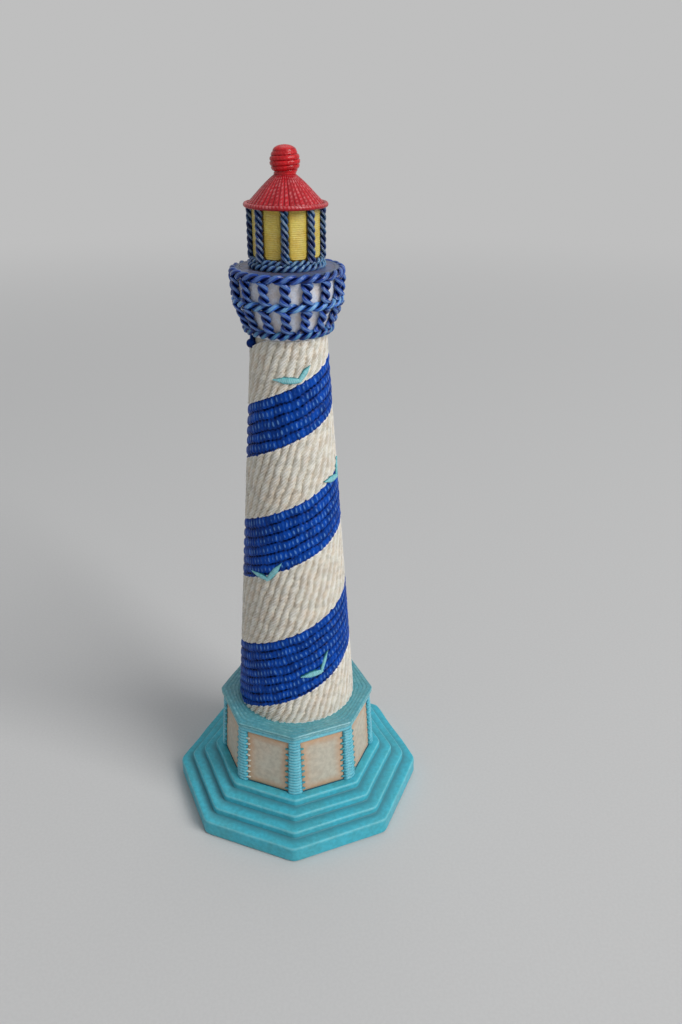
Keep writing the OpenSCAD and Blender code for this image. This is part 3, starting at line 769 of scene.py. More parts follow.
@dataclass(frozen=True)
class Finish:
    """A painted finish: hand-laid paint, a wash in its grooves and light paint on its crests.

    Attributes:
        name: The material's name.
        slot: The record's material slot; it is not used.
        paint: The main colour.
        second: The colour of its soft patches.
        wash: The colour in the grooves. On the base's treads, the panes' tops and the bead's underside it is
            painted shade.
        light: The colour brushed over the crests. On the base's edges, the blue stitches, the cream band's
            edges and the roof it is painted highlight, and on the rail it is painted light against the cap's
            shade.
        patch: Share of the second colour in its patches.
        patch_mm: Width of a patch.
        wash_height: Height from 0, a groove, to 1, a crest, up to which the wash stands.
        light_height: Height from which the light paint starts.
        light_amount: Strength of the light paint.
        broken: How far the edges of the wash and of the light paint are broken up, as a share of the relief.
        roughness: Mean roughness.
        coat: Weight of the clear coat.
        coat_roughness: Roughness of the clear coat.
        specular: Specular level, where 0.5 is that of plain plastic.
        grain_mm: Width of the finest unevenness.
        bump_mm: Height of the unevenness.
        pits: Depth of the pits as a share of the unevenness.
        tint: How far the colour changes from one stitch or strand to the next.
        sheen: Weight of a cloth's sheen.
        rim: The colour of the surface above rim_z, for a node that has no crest attribute.
        rim_z: Height in millimetres from which that colour shows.
    """

    name: str
    slot: str
    paint: Colour
    second: Colour
    wash: Colour
    light: Colour
    patch: float = 0.6
    patch_mm: float = 9.0
    wash_height: float = 0.25
    light_height: float = 0.8
    light_amount: float = 0.5
    broken: float = 0.55
    roughness: float = 0.38
    coat: float = 0.35
    coat_roughness: float = 0.18
    specular: float = 0.35
    grain_mm: float = 0.9
    bump_mm: float = 0.05
    pits: float = 0.3
    tint: float = 0.0
    sheen: float = 0.0
    rim: Colour = (0, 0, 0)
    rim_z: float = math.inf

    def material(self) -> bpy.types.Material:
        """Gives the material of this finish, which is made the first time.

        Returns:
            The material.
        """
        made = bpy.data.materials.get(self.name)
        if made:
            return made
        smoother, rougher = 0.07, 0.09
        material = bpy.data.materials.new(self.name)
        graph = blank_graph(material)
        place = graph.add("TexCoord").outputs["Object"]
        crest = graph.add("Attribute", {"attribute_name": "crest"}).outputs["Fac"]
        colour = self.colour(graph, place, crest)
        grain = graph.add(
            "Group", {"node_tree": Effects.get(Effect.CAST_GRAIN)}, Vector=place,
            Grain_Scale=1 / (self.grain_mm * METRES), Pits=self.pits,
        )
        bump = graph.add("Bump", Height=grain.outputs["Height"], Strength=1.0, Distance=self.bump_mm * METRES)
        smooth, coarse = self.roughness - smoother, self.roughness + rougher
        shader = graph.add(
            "BsdfPrincipled", Base_Color=colour, Normal=bump.outputs[0],
            Roughness=graph.ramp(grain.outputs["Gloss"], NOISE_LOW, NOISE_HIGH, smooth, coarse),
            Specular_IOR_Level=self.specular, Coat_Weight=self.coat, Coat_Roughness=self.coat_roughness,
            Sheen_Weight=self.sheen,
        )
        graph.add("OutputMaterial", Surface=shader.outputs[0])
        return material

    def colour(self, graph: Graph, place: Value, crest: Value) -> Socket:
        """Adds the nodes of the finish's colour.

        Args:
            graph: The material's graph.
            place: Object coordinates.
            crest: Height within the relief, from 0 to 1.

        Returns:
            The colour.
        """
        rim_blur = 0.3
        ground = graph.add(
            "Group", {"node_tree": Effects.get(Effect.HAND_PAINT)}, Vector=place, Paint=linear(self.paint),
            Second=linear(self.second), Patch_Scale=1 / (self.patch_mm * METRES), Amount=self.patch,
        ).outputs["Colour"]
        if self.tint:
            tint = graph.add("Attribute", {"attribute_name": "tint"}).outputs["Fac"]
            value = graph.ramp(tint, 0.0, 1.0, 1 - self.tint, 1 + self.tint)
            ground = graph.add("HueSaturation", Color=ground, Value=value).outputs[0]
        if self.rim_z < math.inf:
            height = graph.add("SeparateXYZ", Vector=place).outputs["Z"]
            above = graph.ramp(height, (self.rim_z - rim_blur) * METRES, (self.rim_z + rim_blur) * METRES)
            ground = graph.mix(above, ground, linear(self.rim))
        return graph.add(
            "Group", {"node_tree": Effects.get(Effect.GROOVE_WASH_AND_PAINTED_LIGHT)}, Vector=place, Crest=crest, Paint=ground,
            Wash=linear(self.wash), Light=linear(self.light), Wash_Height=self.wash_height,
            Light_Height=self.light_height, Light_Amount=self.light_amount, Broken=self.broken,
        ).outputs["Colour"]


# A finish with no wash and no light paint: every height lies above the wash and below the light.
PLAIN = {"wash_height": -0.5, "light_height": 1.4}
# The painted highlight along the base's outer edges and the painted shade on its treads come from this
# finish's light and wash.
TURQUOISE = Finish(
    "turquoise_paint", "turquoise_base", (74, 185, 206), (78, 172, 186), (74, 142, 156), (156, 216, 222),
    patch_mm=12, patch=0.7, roughness=0.36, coat=0.12, specular=0.16, bump_mm=0.06, wash_height=0.26,
    light_height=0.84, broken=0.22,
)
TURQUOISE_THREAD = Finish(
    "turquoise_thread_paint", "turquoise_thread",
    (88, 190, 212), (64, 164, 190), (28, 100, 124), (150, 214, 222), patch_mm=7, roughness=0.33,
)
STITCH = replace(
    TURQUOISE_THREAD, name="stitch_paint", paint=(62, 150, 170), second=(70, 156, 150), light=(208, 212, 200),
    light_height=1.2, light_amount=0.85,
)
CAP_THREAD = replace(
    TURQUOISE_THREAD, name="cap_thread_paint", paint=(80, 156, 170), second=(98, 158, 162),
    wash=(50, 120, 136), light=(158, 214, 220), wash_height=0.2,
)
BEIGE = Finish(
    "beige_paint", "beige_panel", (199, 192, 176), (203, 182, 161), (205, 166, 133), (212, 208, 200),
    patch_mm=14, patch=0.5, roughness=0.5, coat=0.1, specular=0.2, wash_height=0.4, light_amount=0.3,
    bump_mm=0.02, broken=0.2,
)
# The light colour is painted highlight, laid on small ovals of the blue band's stitches.
BLUE_CORD = Finish(
    "blue_cord_paint", "blue_cord", (8, 69, 166), (6, 52, 134), (2, 14, 56), (116, 168, 228),
    roughness=0.32, coat=0.05, coat_roughness=0.1, specular=0.06, wash_height=0.34, light_height=0.76,
    tint=0.22, grain_mm=0.5, bump_mm=0.04,
)
# The light colour also makes a painted highlight along the cream band's edges.
CREAM_CORD = Finish(
    "cream_cord_paint", "cream_cord", (216, 212, 199), (210, 192, 172), (162, 142, 116), (248, 247, 244),
    patch_mm=3.4, roughness=0.46, coat=0.12, specular=0.28, wash_height=0.12, light_amount=0.65, tint=0.12,
    grain_mm=0.55, bump_mm=0.08,
)
GULL = Finish(
    "gull_paint", "gull_turquoise", (116, 190, 198), (94, 178, 182), (44, 116, 128), (176, 220, 230),
    patch_mm=4, roughness=0.4, coat=0.2, wash_height=0.24, tint=0.14,
)
# Painted shade: above the height rim_z the wall's top takes a dark blue-grey, the shade under the rim rope.
WHITE_WALL = Finish(
    "white_wall_paint", "white_wall", (214, 220, 233), (208, 190, 174), (168, 156, 146), (228, 228, 230),
    patch_mm=4, roughness=0.46, coat=0.15, rim=(88, 102, 132), rim_z=210.4, **PLAIN,
)
# Painted shade: the cream deck is painted dark blue-grey, the shade under the lantern and the rim rope.
DECK_PAINTED_SHADE = Finish(
    "deck_painted_shade", "deck_cream", (92, 104, 144), (98, 84, 92), (90, 80, 76), (196, 190, 180),
    patch_mm=3, patch=0.8, roughness=0.5, coat=0.15, bump_mm=0.14, **PLAIN,
)
BLUE_ROPE = Finish(
    "blue_rope_paint", "blue_rope", (24, 66, 156), (18, 46, 120), (8, 16, 62), (122, 162, 214),
    patch_mm=5, roughness=0.32, coat=0.2, coat_roughness=0.12, specular=0.25, wash_height=0.34,
    light_height=0.82, light_amount=0.6, tint=0.24, bump_mm=0.03,
)
TEAL_ROPE = replace(BLUE_ROPE, name="teal_brushed_rope", light=(100, 166, 196), light_height=0.8)
# Painted light: the mid rope is painted lighter than the others, against the shade that the rim rope casts on
# it.
MID_ROPE_PAINTED_LIGHT = replace(
    TEAL_ROPE, name="mid_rope_painted_light", paint=(54, 112, 204), second=(44, 88, 172), light=(144, 200, 230)
)
RIM_ROPE = replace(TEAL_ROPE, name="rim_rope_paint", second=(34, 56, 130), light=(98, 136, 196))
LANTERN_ROPE = replace(
    BLUE_ROPE, name="lantern_rope_paint", paint=(22, 44, 104), second=(28, 78, 110), light=(160, 182, 200),
    light_height=0.9, light_amount=0.5, broken=1.3, tint=0.34,
)
FOOT_ROPE = replace(
    BLUE_ROPE, name="lantern_foot_paint", paint=(50, 84, 150), second=(56, 118, 146), light=(140, 180, 200)
)
# Its wash also darkens the panes' tops as painted shade under the brim.
YELLOW = Finish(
    "yellow_paint", "yellow_pane", (210, 190, 88), (198, 156, 42), (130, 92, 28), (234, 222, 150),
    patch_mm=5, roughness=0.42, coat=0.2, wash_height=0.2, light_amount=0.4, light_height=0.9,
)
OCHRE = Finish(
    "ochre_ground", "core_resin", (128, 98, 46), (96, 72, 38), (60, 46, 30), (170, 140, 70),
    patch_mm=3, roughness=0.5, coat=0.1, **PLAIN,
)
# The light colour is painted highlight: pink on the crests of the roof's ribs and on the brim.
RED = Finish(
    "red_paint", "red_roof", (180, 24, 36), (164, 20, 34), (112, 10, 24), (226, 136, 140),
    patch_mm=4, roughness=0.33, coat=0.2, specular=0.22, wash_height=0.3, light_height=0.9, light_amount=0.55,
    tint=0.16,
)
RED_COIL = replace(
    RED, name="red_coil_paint", paint=(196, 18, 28), second=(180, 16, 28), light=(212, 66, 70), coat=0.3,
    light_amount=0.35,
)
RESIN = Finish(
    "bare_resin", "core_resin", (206, 198, 180), (196, 188, 170), (160, 150, 130), (214, 208, 194),
    roughness=0.55, coat=0.0, **PLAIN,
)
FELT = Finish(
    "dark_felt", "felt", (34, 52, 42), (26, 42, 34), (16, 26, 20), (52, 72, 60),
    patch_mm=4, roughness=0.9, coat=0.0, grain_mm=0.25, bump_mm=0.12, sheen=0.4, **PLAIN,
)


# ---- base and plinth ----


@dataclass
class Base:
    """The bottom slab and its steps, with the recess for the felt.

    Attributes:
        slab_h: Height of the slab's side.
        steps: Steps above the slab.
        step_run: How far each step stands back at a corner.
        step_rise: Height of a step.
        felt_inset: How far the felt stays inside the slab's corners.
        felt_depth: Depth of its recess.
        edge: Rounding of the upper edges.
        hollow: Rounding at the foot of a step, where paint has gathered.
        lines_per_side: Lines of the mesh in each side.
        unevenness: Height of the casting's slow waves.
    """

    slab_h: float = 6.5
    steps: int = 3
    step_run: float = 5.1
    step_rise: float = 3.1
    felt_inset: float = 4.0
    felt_depth: float = 0.65
    edge: float = 1.1
    hollow: float = 0.5
    lines_per_side: int = 44
    unevenness: float = 0.09

    def build(self) -> None:
        """Makes the stepped base, and gives the felt its finish."""
        wave_len, flat_r, blend_r, flat_h, blend_h, upward = 16, 20, 10, 0.5, 2, 0.4
        base_r = reach_of("stepped_base")
        foot = low_of("stepped_base")
        felt_r = base_r - self.felt_inset
        recess = foot + self.felt_depth
        corners = [(1.0, recess, 0), (felt_r, recess, 0.1), (felt_r, foot, 0.1), (base_r, foot, 0.3)]
        corners.append((base_r, foot + self.slab_h, self.edge))
        for i in range(1, self.steps + 1):
            step_r = base_r - i * self.step_run
            level = foot + self.slab_h + (i - 1) * self.step_rise
            corners += [(step_r, level, self.hollow), (step_r, level + self.step_rise, self.edge)]
        corners.append((1.0, high_of("stepped_base"), 0))
        profile = soft_profile(corners, spacing=1.2)
        azimuth = corner_azimuths(self.lines_per_side)
        radius = octagon_radius(azimuth, profile[:, :1])
        points = polar_points(radius, azimuth, profile[:, 1:])
        outer = np.clip((profile[:, :1] - flat_r) / blend_r, 0, 1)
        above_foot = np.clip((points[..., 2] - foot - flat_h) / blend_h, 0, 1)
        wave = waviness(points, wave_len, 3) * outer * above_foot * self.unevenness
        points = polar_points(radius + wave - self.unevenness, azimuth, points[..., 2] + wave * upward)
        patch = Patch(points, {"crest": self.crest(profile)})
        add_piece("stepped_base_cast", [patch], TURQUOISE, ("stepped_base",))
        dress_node("felt_pad", FELT)

    def crest(self, profile: Array) -> Array:
        """Height within the relief: high on the outer edges of the steps, low at their feet.

        The bend of the profile at each point, positive where it turns like an outer edge, is spread over its
        neighbours, so that the outer edges reach the light paint as painted highlights and the feet of the
        steps sink into the wash. Level treads lie lower than the sides, so that a little of the wash stays on
        them as
        painted shade: the treads come out darker than the sides.

        Args:
            profile: Rows of (radius, height).

        Returns:
            The height for each row, in one column.
        """
        # Painted shade and highlight: the treads sit lower than the sides in the wash, and the outer edges
        # higher in the light paint.
        side_height, tread_painted_shade, bend_gain, most_bend = 0.56, 0.24, 0.6, 0.5
        step = np.gradient(profile, axis=0)
        bend = np.gradient(np.unwrap(np.arctan2(step[:, 1], step[:, 0])))
        weights = np.array([0.25, 0.5, 1.0, 0.5, 0.25])
        spread = np.convolve(np.clip(bend, -most_bend, most_bend), weights, mode="same")
        level = np.abs(step[:, 0]) / np.linalg.norm(step, axis=1)
        return np.clip(side_height - tread_painted_shade * level + bend_gain * spread, 0, 1)[:, None]


@dataclass
class Plinth:
    """The panelled drum: beige panels, ridged posts, the rail, the stitches and the cap.

    Attributes:
        post_t: Thickness of the posts.
        drum_in: How far the drum's corners draw in from its foot to its top.
        ridges: Thread ridges up each post.
        ridge_depth: Depth of the grooves between them.
        panel_w: Width of a panel.
        panel_t: Thickness of a panel.
        rail_h: Height of the rail above the panels.
        stitch_len: Length of the stitches over a panel's side.
        stitch_t: Height of a stitch above the panel.
        threads: Threads laid round the cap's top.
        cap_out: How far the cap stands out over the drum's corners.
    """

    post_t: float = 0.9
    drum_in: float = 1.9
    ridges: int = 18
    ridge_depth: float = 0.3
    panel_w: float = 17.6
    panel_t: float = 0.9
    rail_h: float = 2.0
    stitch_len: float = 1.35
    stitch_t: float = 0.5
    threads: int = 5
    cap_out: float = 0.9

    def __post_init__(self) -> None:
        """Reads the drum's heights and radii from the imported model."""
        self.foot = high_of("stepped_base")
        self.top = low_of("plinth_cap")
        self.height = self.top - self.foot
        self.foot_r = reach_of("corner_posts") - self.post_t
        self.draft = math.atan(self.drum_in * math.cos(SIDE_TURN / 2) / self.height)
        self.panel_h = self.height - self.rail_h
        self.pitch = self.panel_h / self.ridges

    def drum_r(self, z: Numbers) -> Numbers:
        """Radius of the drum's corners at height z."""
        return self.foot_r - self.drum_in * (z - self.foot) / self.height

    def on_side(self, k: int, x: Numbers, y: Numbers, out: Numbers) -> Array:
        """Points on one side of the drum.

        Args:
            k: Number of the side, from the front corner towards +X.
            x: Distance along the side from its middle.
            y: Distance up its slope.
            out: Distance out of it.

        Returns:
            The points.
        """
        x, y, out = np.broadcast_arrays(x, y, out)
        apothem = self.foot_r * math.cos(SIDE_TURN / 2)
        radial = apothem + out * math.cos(self.draft) - y * math.sin(self.draft)
        z = self.foot + out * math.sin(self.draft) + y * math.cos(self.draft)
        away, along = side_directions(k)
        return radial[..., None] * away + x[..., None] * along + z[..., None] * UP

    def build(self) -> None:
        """Makes the pieces of the plinth."""
        dress_node("plinth_drum", TURQUOISE_THREAD)
        add_piece("side_panels_painted", [self.panel(k) for k in range(SIDES)], BEIGE, ("side_panels",))
        posts = [self.post(k) for k in range(SIDES)]
        add_piece("corner_posts_threaded", posts + [self.rail()], TURQUOISE_THREAD, ("corner_posts",), 60)
        stitches = [
            self.stitch(k, i, hand)
            for k in range(SIDES)
            for i in range(1, self.ridges - 1, 2)
            for hand in (-1, 1)
        ]
        add_piece("panel_stitches_threaded", stitches, STITCH, ("panel_stitches",), 80)
        add_piece("plinth_cap_threaded", [self.cap()], CAP_THREAD, ("plinth_cap",), 70)

    def panel(self, k: int) -> Patch:
        """One panel: a thin slab with a slightly uneven face and soft edges.

        The face drops by the square of the nearness to an edge, within the length fall. The crest rises away
        from the edges, so that the wash is darkest along them.

        Args:
            k: Number of the side.

        Returns:
            The panel.
        """
        rows, columns = 30, 24
        gap, fall, drop, wave_h, wave_len = 0.2, 0.6, 0.35, 0.04, 9
        edge_crest, crest_rise, rise_w = 0.2, 0.55, 6
        y = np.linspace(gap, self.panel_h - gap, rows)[:, None]
        half = self.panel_w / 2
        x = np.linspace(-half, half, columns)
        away = np.minimum(np.minimum(half - np.abs(x), y - gap), self.panel_h - gap - y)
        wave = wave_h * waviness(self.on_side(k, x, y, 0.0), wave_len, 20 + k)
        front = self.on_side(k, x, y, wave - drop * (1 - np.clip(away / fall, 0, 1)) ** 2)
        back = self.on_side(k, x[[-1, 0]], y, -self.panel_t)
        crest = edge_crest + crest_rise * np.clip(away / rise_w, 0, 1)
        return closed_skin(front, back, {"crest": crest})

    def post(self, k: int) -> Patch:
        """One post: a skin that wraps a corner from panel to panel, with a round ridge for each thread.

        At a height z its outer face lies post_t - ridge_depth (1 - ridge) out from the drum, where ridge is a
        round back over each thread. Its two sides curl back to the drum.

        Args:
            k: Number of the corner, from the front towards +X.

        Returns:
            The post.
        """
        per_ridge, across, inner_lines = 9, 19, 3
        seam, sunk, wave_h, wave_len = 0.06, 0.2, 0.05, 5
        curl_power, side_crest, soft_corner, crisp_corner = 9, 0.35, 70, 200
        z = self.foot + np.linspace(0, self.panel_h, self.ridges * per_ridge + 1)[:, None]
        phase = (z - self.foot) / self.pitch
        ridge = round_back(np.mod(phase, 1), ROUND)
        share = np.linspace(-1, 1, across)
        drum_r = self.drum_r(z)
        apothem = drum_r * math.cos(SIDE_TURN / 2)
        corner_x = apothem * math.tan(SIDE_TURN / 2)
        x = corner_x + (self.panel_w / 2 - seam - corner_x) * np.abs(share)
        swing = SIDE_TURN / 2 - np.arctan(x / apothem)
        azimuth = FRONT + SIDE_TURN * k + np.sign(share) * swing
        curl = round_back((share + 1) / 2, curl_power)
        wave = wave_h * waviness(polar_points(drum_r, azimuth, z), wave_len, 40 + k)
        out = (self.post_t - self.ridge_depth * (1 - ridge) + wave) * curl
        outer = polar_points(octagon_radius(azimuth, drum_r, soft_corner) + out, azimuth, z)
        inner_azimuth = azimuth[:, np.linspace(across - 1, 0, inner_lines, dtype=int)]
        inner = polar_points(octagon_radius(inner_azimuth, drum_r, crisp_corner) - sunk, inner_azimuth, z)
        crest = ridge * (side_crest + (1 - side_crest) * curl)
        tint = scatter(np.floor(phase) + 31 * k, 2.0)
        return closed_skin(outer, inner, {"crest": crest, "tint": tint}, 0.5)

    def rail(self) -> Patch:
        """The rail above the panels: an eight-sided ring with one shallow groove below its upper edge.

        Returns:
            The rail.
        """
        per_side, crispness, sunk, groove = 40, 80, 0.3, 0.12
        foot, top = self.top - self.rail_h, self.top
        # Each point of the section is (distance out, height, crest). The front's crests lie high in the light
        # paint, as painted light that lightens the rail against the cap's shade.
        section = np.array([
            (-sunk, foot, 0), (self.post_t * 0.5, foot - 0.05, 0.4), (self.post_t * 0.85, foot + 0.12, 0.85),
            (self.post_t, foot + 0.4, 0.95), (self.post_t, top - 0.85, 0.9),
            (self.post_t - groove, top - 0.7, 0.3), (self.post_t, top - 0.5, 0.95), (self.post_t, top, 0.75),
            (-sunk, top, 0),
        ])
        out, z, crest = section.T[..., None]
        azimuth = corner_azimuths(per_side)
        radius = octagon_radius(azimuth, self.drum_r(z) + out, crispness)
        return Patch(polar_points(radius, azimuth, z), {"crest": crest}, ring=True)

    def stitch(self, k: int, i: int, hand: int) -> Patch:
        """One stitch: a short round thread that runs from a post over the panel's side.

        Its section is an oval whose size follows (1 - |s| ^ 3) ^ 0.5 along its length. Those in one row left
        of the front are bare of turquoise, which a crest above 1 stands for.

        Args:
            k: Number of the side.
            i: Number of the ridge that it starts from.
            hand: -1 for the side's left edge and 1 for its right edge.

        Returns:
            The stitch.
        """
        rows, columns, end = 7, 8, 0.97
        lap, thick_share, uneven, lift, sunk = 0.35, 0.28, 0.25, 0.12, 0.1
        loose = uneven * (scatter(i + 40 * k + 500 * hand, 4.0) - 0.5)
        s = np.linspace(-end, end, rows)[:, None]
        around = round_angles(columns)
        fullness = np.sqrt(1 - np.abs(s) ** 3)
        reach = self.stitch_len * (1 + loose) / 2 + lap
        x = hand * (self.panel_w / 2 - self.stitch_len / 2 + lap) + reach * s
        y = self.pitch * (i + 0.5) + self.pitch * thick_share * fullness * np.cos(around) + loose * s
        out = lift + (self.stitch_t + sunk) * fullness * np.sin(around)
        bare = 1.0 if k == SIDES - 1 and hand < 0 else 0.0
        return Patch(self.on_side(k, x, y, out), {"crest": 0.5 + 0.5 * np.sin(around) + bare})

    def cap(self) -> Patch:
        """The cap: a beaded eight-sided edge, and threads on top between its outline and the tower's foot.

        On top, a point at share f between the edge and the foot has the radius (1 - f) octagon + f circle,
        and the threads are round backs over f. Below it, the profile follows the cap's edge.

        Returns:
            The cap.
        """
        lip, thread_h, lap, inner_r, wave_h, wave_len = 0.7, 0.18, 0.4, 3.0, 0.05, 7
        per_side, per_thread, crispness, edge_w, edge_crest, thread_crest = 44, 12, 80, 0.8, 0.95, 0.45
        edge_r = self.drum_r(self.top) + self.post_t + self.cap_out
        low, high = self.top, high_of("plinth_cap") - 0.2
        side = soft_profile(
            [
                (inner_r, low, 0), (edge_r - 0.9, low, 0.3), (edge_r - 0.1, low + 0.35, 0.3),
                (edge_r - 0.1, low + 0.85, 0.2), (edge_r - 0.4, low + 1.15, 0.2), (edge_r, low + 1.5, 0.25),
                (edge_r, high - 0.5, 0.3), (edge_r - 0.5, high - 0.12, 0.2), (edge_r - lip, high - 0.12, 0),
            ],
            spacing=2.0,
        )
        azimuth = corner_azimuths(per_side)
        outside = octagon_radius(azimuth, side[:, :1], crispness)
        share = np.linspace(0, 1, self.threads * per_thread + 1)[1:, None]
        foot_r = reach_of("tower_core") + lap
        rim = octagon_radius(azimuth, edge_r - lip, crispness)
        thread = round_back(np.mod(share * self.threads, 1), FULL)
        middle = np.full((1, azimuth.size), inner_r)
        radius = np.concatenate([outside, (1 - share) * rim + share * foot_r, middle])
        z = np.concatenate([side[:, 1:], high - 0.14 + thread_h * thread, [[high - 0.2]]])
        edge = np.clip((side[:, :1] - edge_r + edge_w) / edge_w, 0, edge_crest)
        crest = np.concatenate([edge, 0.3 + thread_crest * thread, [[0.5]]])
        points = polar_points(radius, azimuth, z)
        points[..., 2] += wave_h * waviness(points, wave_len, 61) * (radius > foot_r)
        plain = np.full((len(side), 1), 0.5)
        tint = np.concatenate([plain, scatter(np.floor(share * self.threads), 6.0), [[0.5]]])
        return Patch(points, {"crest": crest, "tint": tint})


# ---- tower ----


@dataclass(frozen=True)
class TowerForm:
    """The tapered tower and the spiral that its bands follow.

    A point of its surface is (turn, rise): the azimuth from the front in radians, and the rise in which
    radius = start_r exp(-taper rise). In these two a step has the same scale both ways, so an edge that
    climbs at a constant angle is a straight line: rise = tan(climb) (turn + 2 pi phase).

    Attributes:
        foot: Height of its foot.
        top: Height of its top.
        foot_r: Radius over the cords at its foot.
        top_r: Radius over the cords at its top.
        climb: Angle at which the bands climb.
        blue_share: Share of the spiral's pitch that is blue.
        start_h: Height above the foot at which the blue band's lower edge passes the front.
        band_t: Thickness of the bands.
    """

    foot: float
    top: float
    foot_r: float = 23.1
    top_r: float = 12.9
    climb: float = math.radians(23.3)
    blue_share: float = 0.48
    start_h: float = 10.5
    band_t: float = 1.7

    @property
    def taper(self) -> float:
        """Loss of radius over height."""
        return (self.foot_r - self.top_r) / (self.top - self.foot)

    @property
    def start_r(self) -> float:
        """Radius where the blue band's lower edge passes the front."""
        return self.foot_r - self.start_h * self.taper

    def radius(self, rise: Numbers) -> Numbers:
        """Radius over the cords at a rise."""
        return self.start_r * np.exp(-self.taper * rise)

    def rise_at(self, z: float) -> float:
        """Rise at a height."""
        return -math.log((self.foot_r - (z - self.foot) * self.taper) / self.start_r) / self.taper

    def point(self, turn: Numbers, rise: Numbers, lift: Numbers) -> Array:
        """Places points on the surface, lifted off it.

        Args:
            turn: Turn of each point.
            rise: Rise of each point.
            lift: Distance out from the surface.

        Returns:
            The points.
        """
        radius = self.radius(rise)
        z = self.foot + (self.foot_r - radius) / self.taper
        return polar_points(radius + lift, FRONT + turn, z)


@dataclass(frozen=True)
class BandGrid:
    """A grid of lines across one band, with a line for each sample of its stitches or cords.

    A line crosses the band's guide at a distance along it, and leans at a constant angle from level. The
    count of stitches up to a line is the integral of radius / pitch along the band's middle.

    Attributes:
        form: The tower.
        phases: Phases of the band's lower and upper edges.
        lean: Angle of the lines from level.
        pitch: Distance along the band's middle from one stitch or cord to the next.
        samples: Lines in each stitch or cord.
        end_turn: Turn at which the band ends, where it ends below the tower's top.
    """

    form: TowerForm
    phases: Pair
    lean: float
    pitch: float
    samples: int
    end_turn: float = math.inf

    @property
    def edges(self) -> list[float]:
        """Distances along a line from the guide to the band's lower and upper edges."""
        slant = math.sin(self.lean - self.form.climb)
        return [TURN * phase * math.sin(self.form.climb) / slant for phase in self.phases]

    def lines(self) -> tuple[Array, Array]:
        """Works out the lines, from where the band leaves the foot to where it meets the top.

        Returns:
            The count of stitches up to each line, and the line's place along the guide.
        """
        form = self.form
        low, high = self.edges
        first = (form.rise_at(form.foot) - high * math.sin(self.lean)) / math.sin(form.climb)
        last = (form.rise_at(form.top) - low * math.sin(self.lean)) / math.sin(form.climb)
        last = min(last, self.end_turn / math.cos(form.climb))
        rate = form.taper * math.sin(form.climb)
        middle_r = form.start_r * math.exp(-form.taper * math.sin(self.lean) * (low + high) / 2)
        scale = middle_r / self.pitch
        start, end = (scale / rate * (1 - math.exp(-rate * place)) * self.samples for place in (first, last))
        count = np.arange(math.ceil(start) + 1, math.floor(end)) / self.samples
        return count, -np.log(1 - count * rate / scale) / rate

    def span(self, place: Array) -> tuple[Array, Array]:
        """Works out where lines enter and leave the band, between the tower's foot and top.

        Args:
            place: Place of each line along the guide.

        Returns:
            The distances along each line at which it enters and leaves.
        """
        form = self.form
        low, high = self.edges
        bottom = (form.rise_at(form.foot) - place * math.sin(form.climb)) / math.sin(self.lean)
        top = (form.rise_at(form.top) - place * math.sin(form.climb)) / math.sin(self.lean)
        return np.maximum(low, bottom), np.minimum(high, top)

    def surface(self, place: Array, along: Array) -> tuple[Array, Array]:
        """Works out the turn and rise of points at a distance along lines.

        Args:
            place: Place of the lines along the guide.
            along: Distance along them.

        Returns:
            The turn and the rise.
        """
        form = self.form
        turn = place * math.cos(form.climb) + along * math.cos(self.lean)
        rise = place * math.sin(form.climb) + along * math.sin(self.lean)
        return turn, rise

    def length(self, place: Array, along: Array) -> Array:
        """Works out the real length of a line up to a point: the integral of the radius along it.

        Args:
            place: Place of the line along the guide.
            along: Distance along it.

        Returns:
            The length.
        """
        fall = self.form.taper * math.sin(self.lean)
        start = self.form.radius(place * math.sin(self.form.climb))
        return start / fall * (1 - np.exp(-fall * along))

    def share_across(self, along: Array) -> Array:
        """Share of the band's width at a distance along a line."""
        low, high = self.edges
        return (along - low) / (high - low)


@dataclass(frozen=True)
class Gull:
    """One gull: two wings that meet in a V, each as (turn, rise) of its tip from there in millimetres.

    Attributes:
        azimuth: Azimuth of the point where the wings meet, in degrees.
        height: Its height as a share of the tower's.
        level: Tip of the wing that points back against the spiral.
        raised: Tip of the other wing.
        widths: Greatest widths of the two wings.
    """

    azimuth: float
    height: float
    level: Pair = (-7.8, 0.2)
    raised: Pair = (4.3, 5.9)
    widths: Pair = (2.2, 1.7)


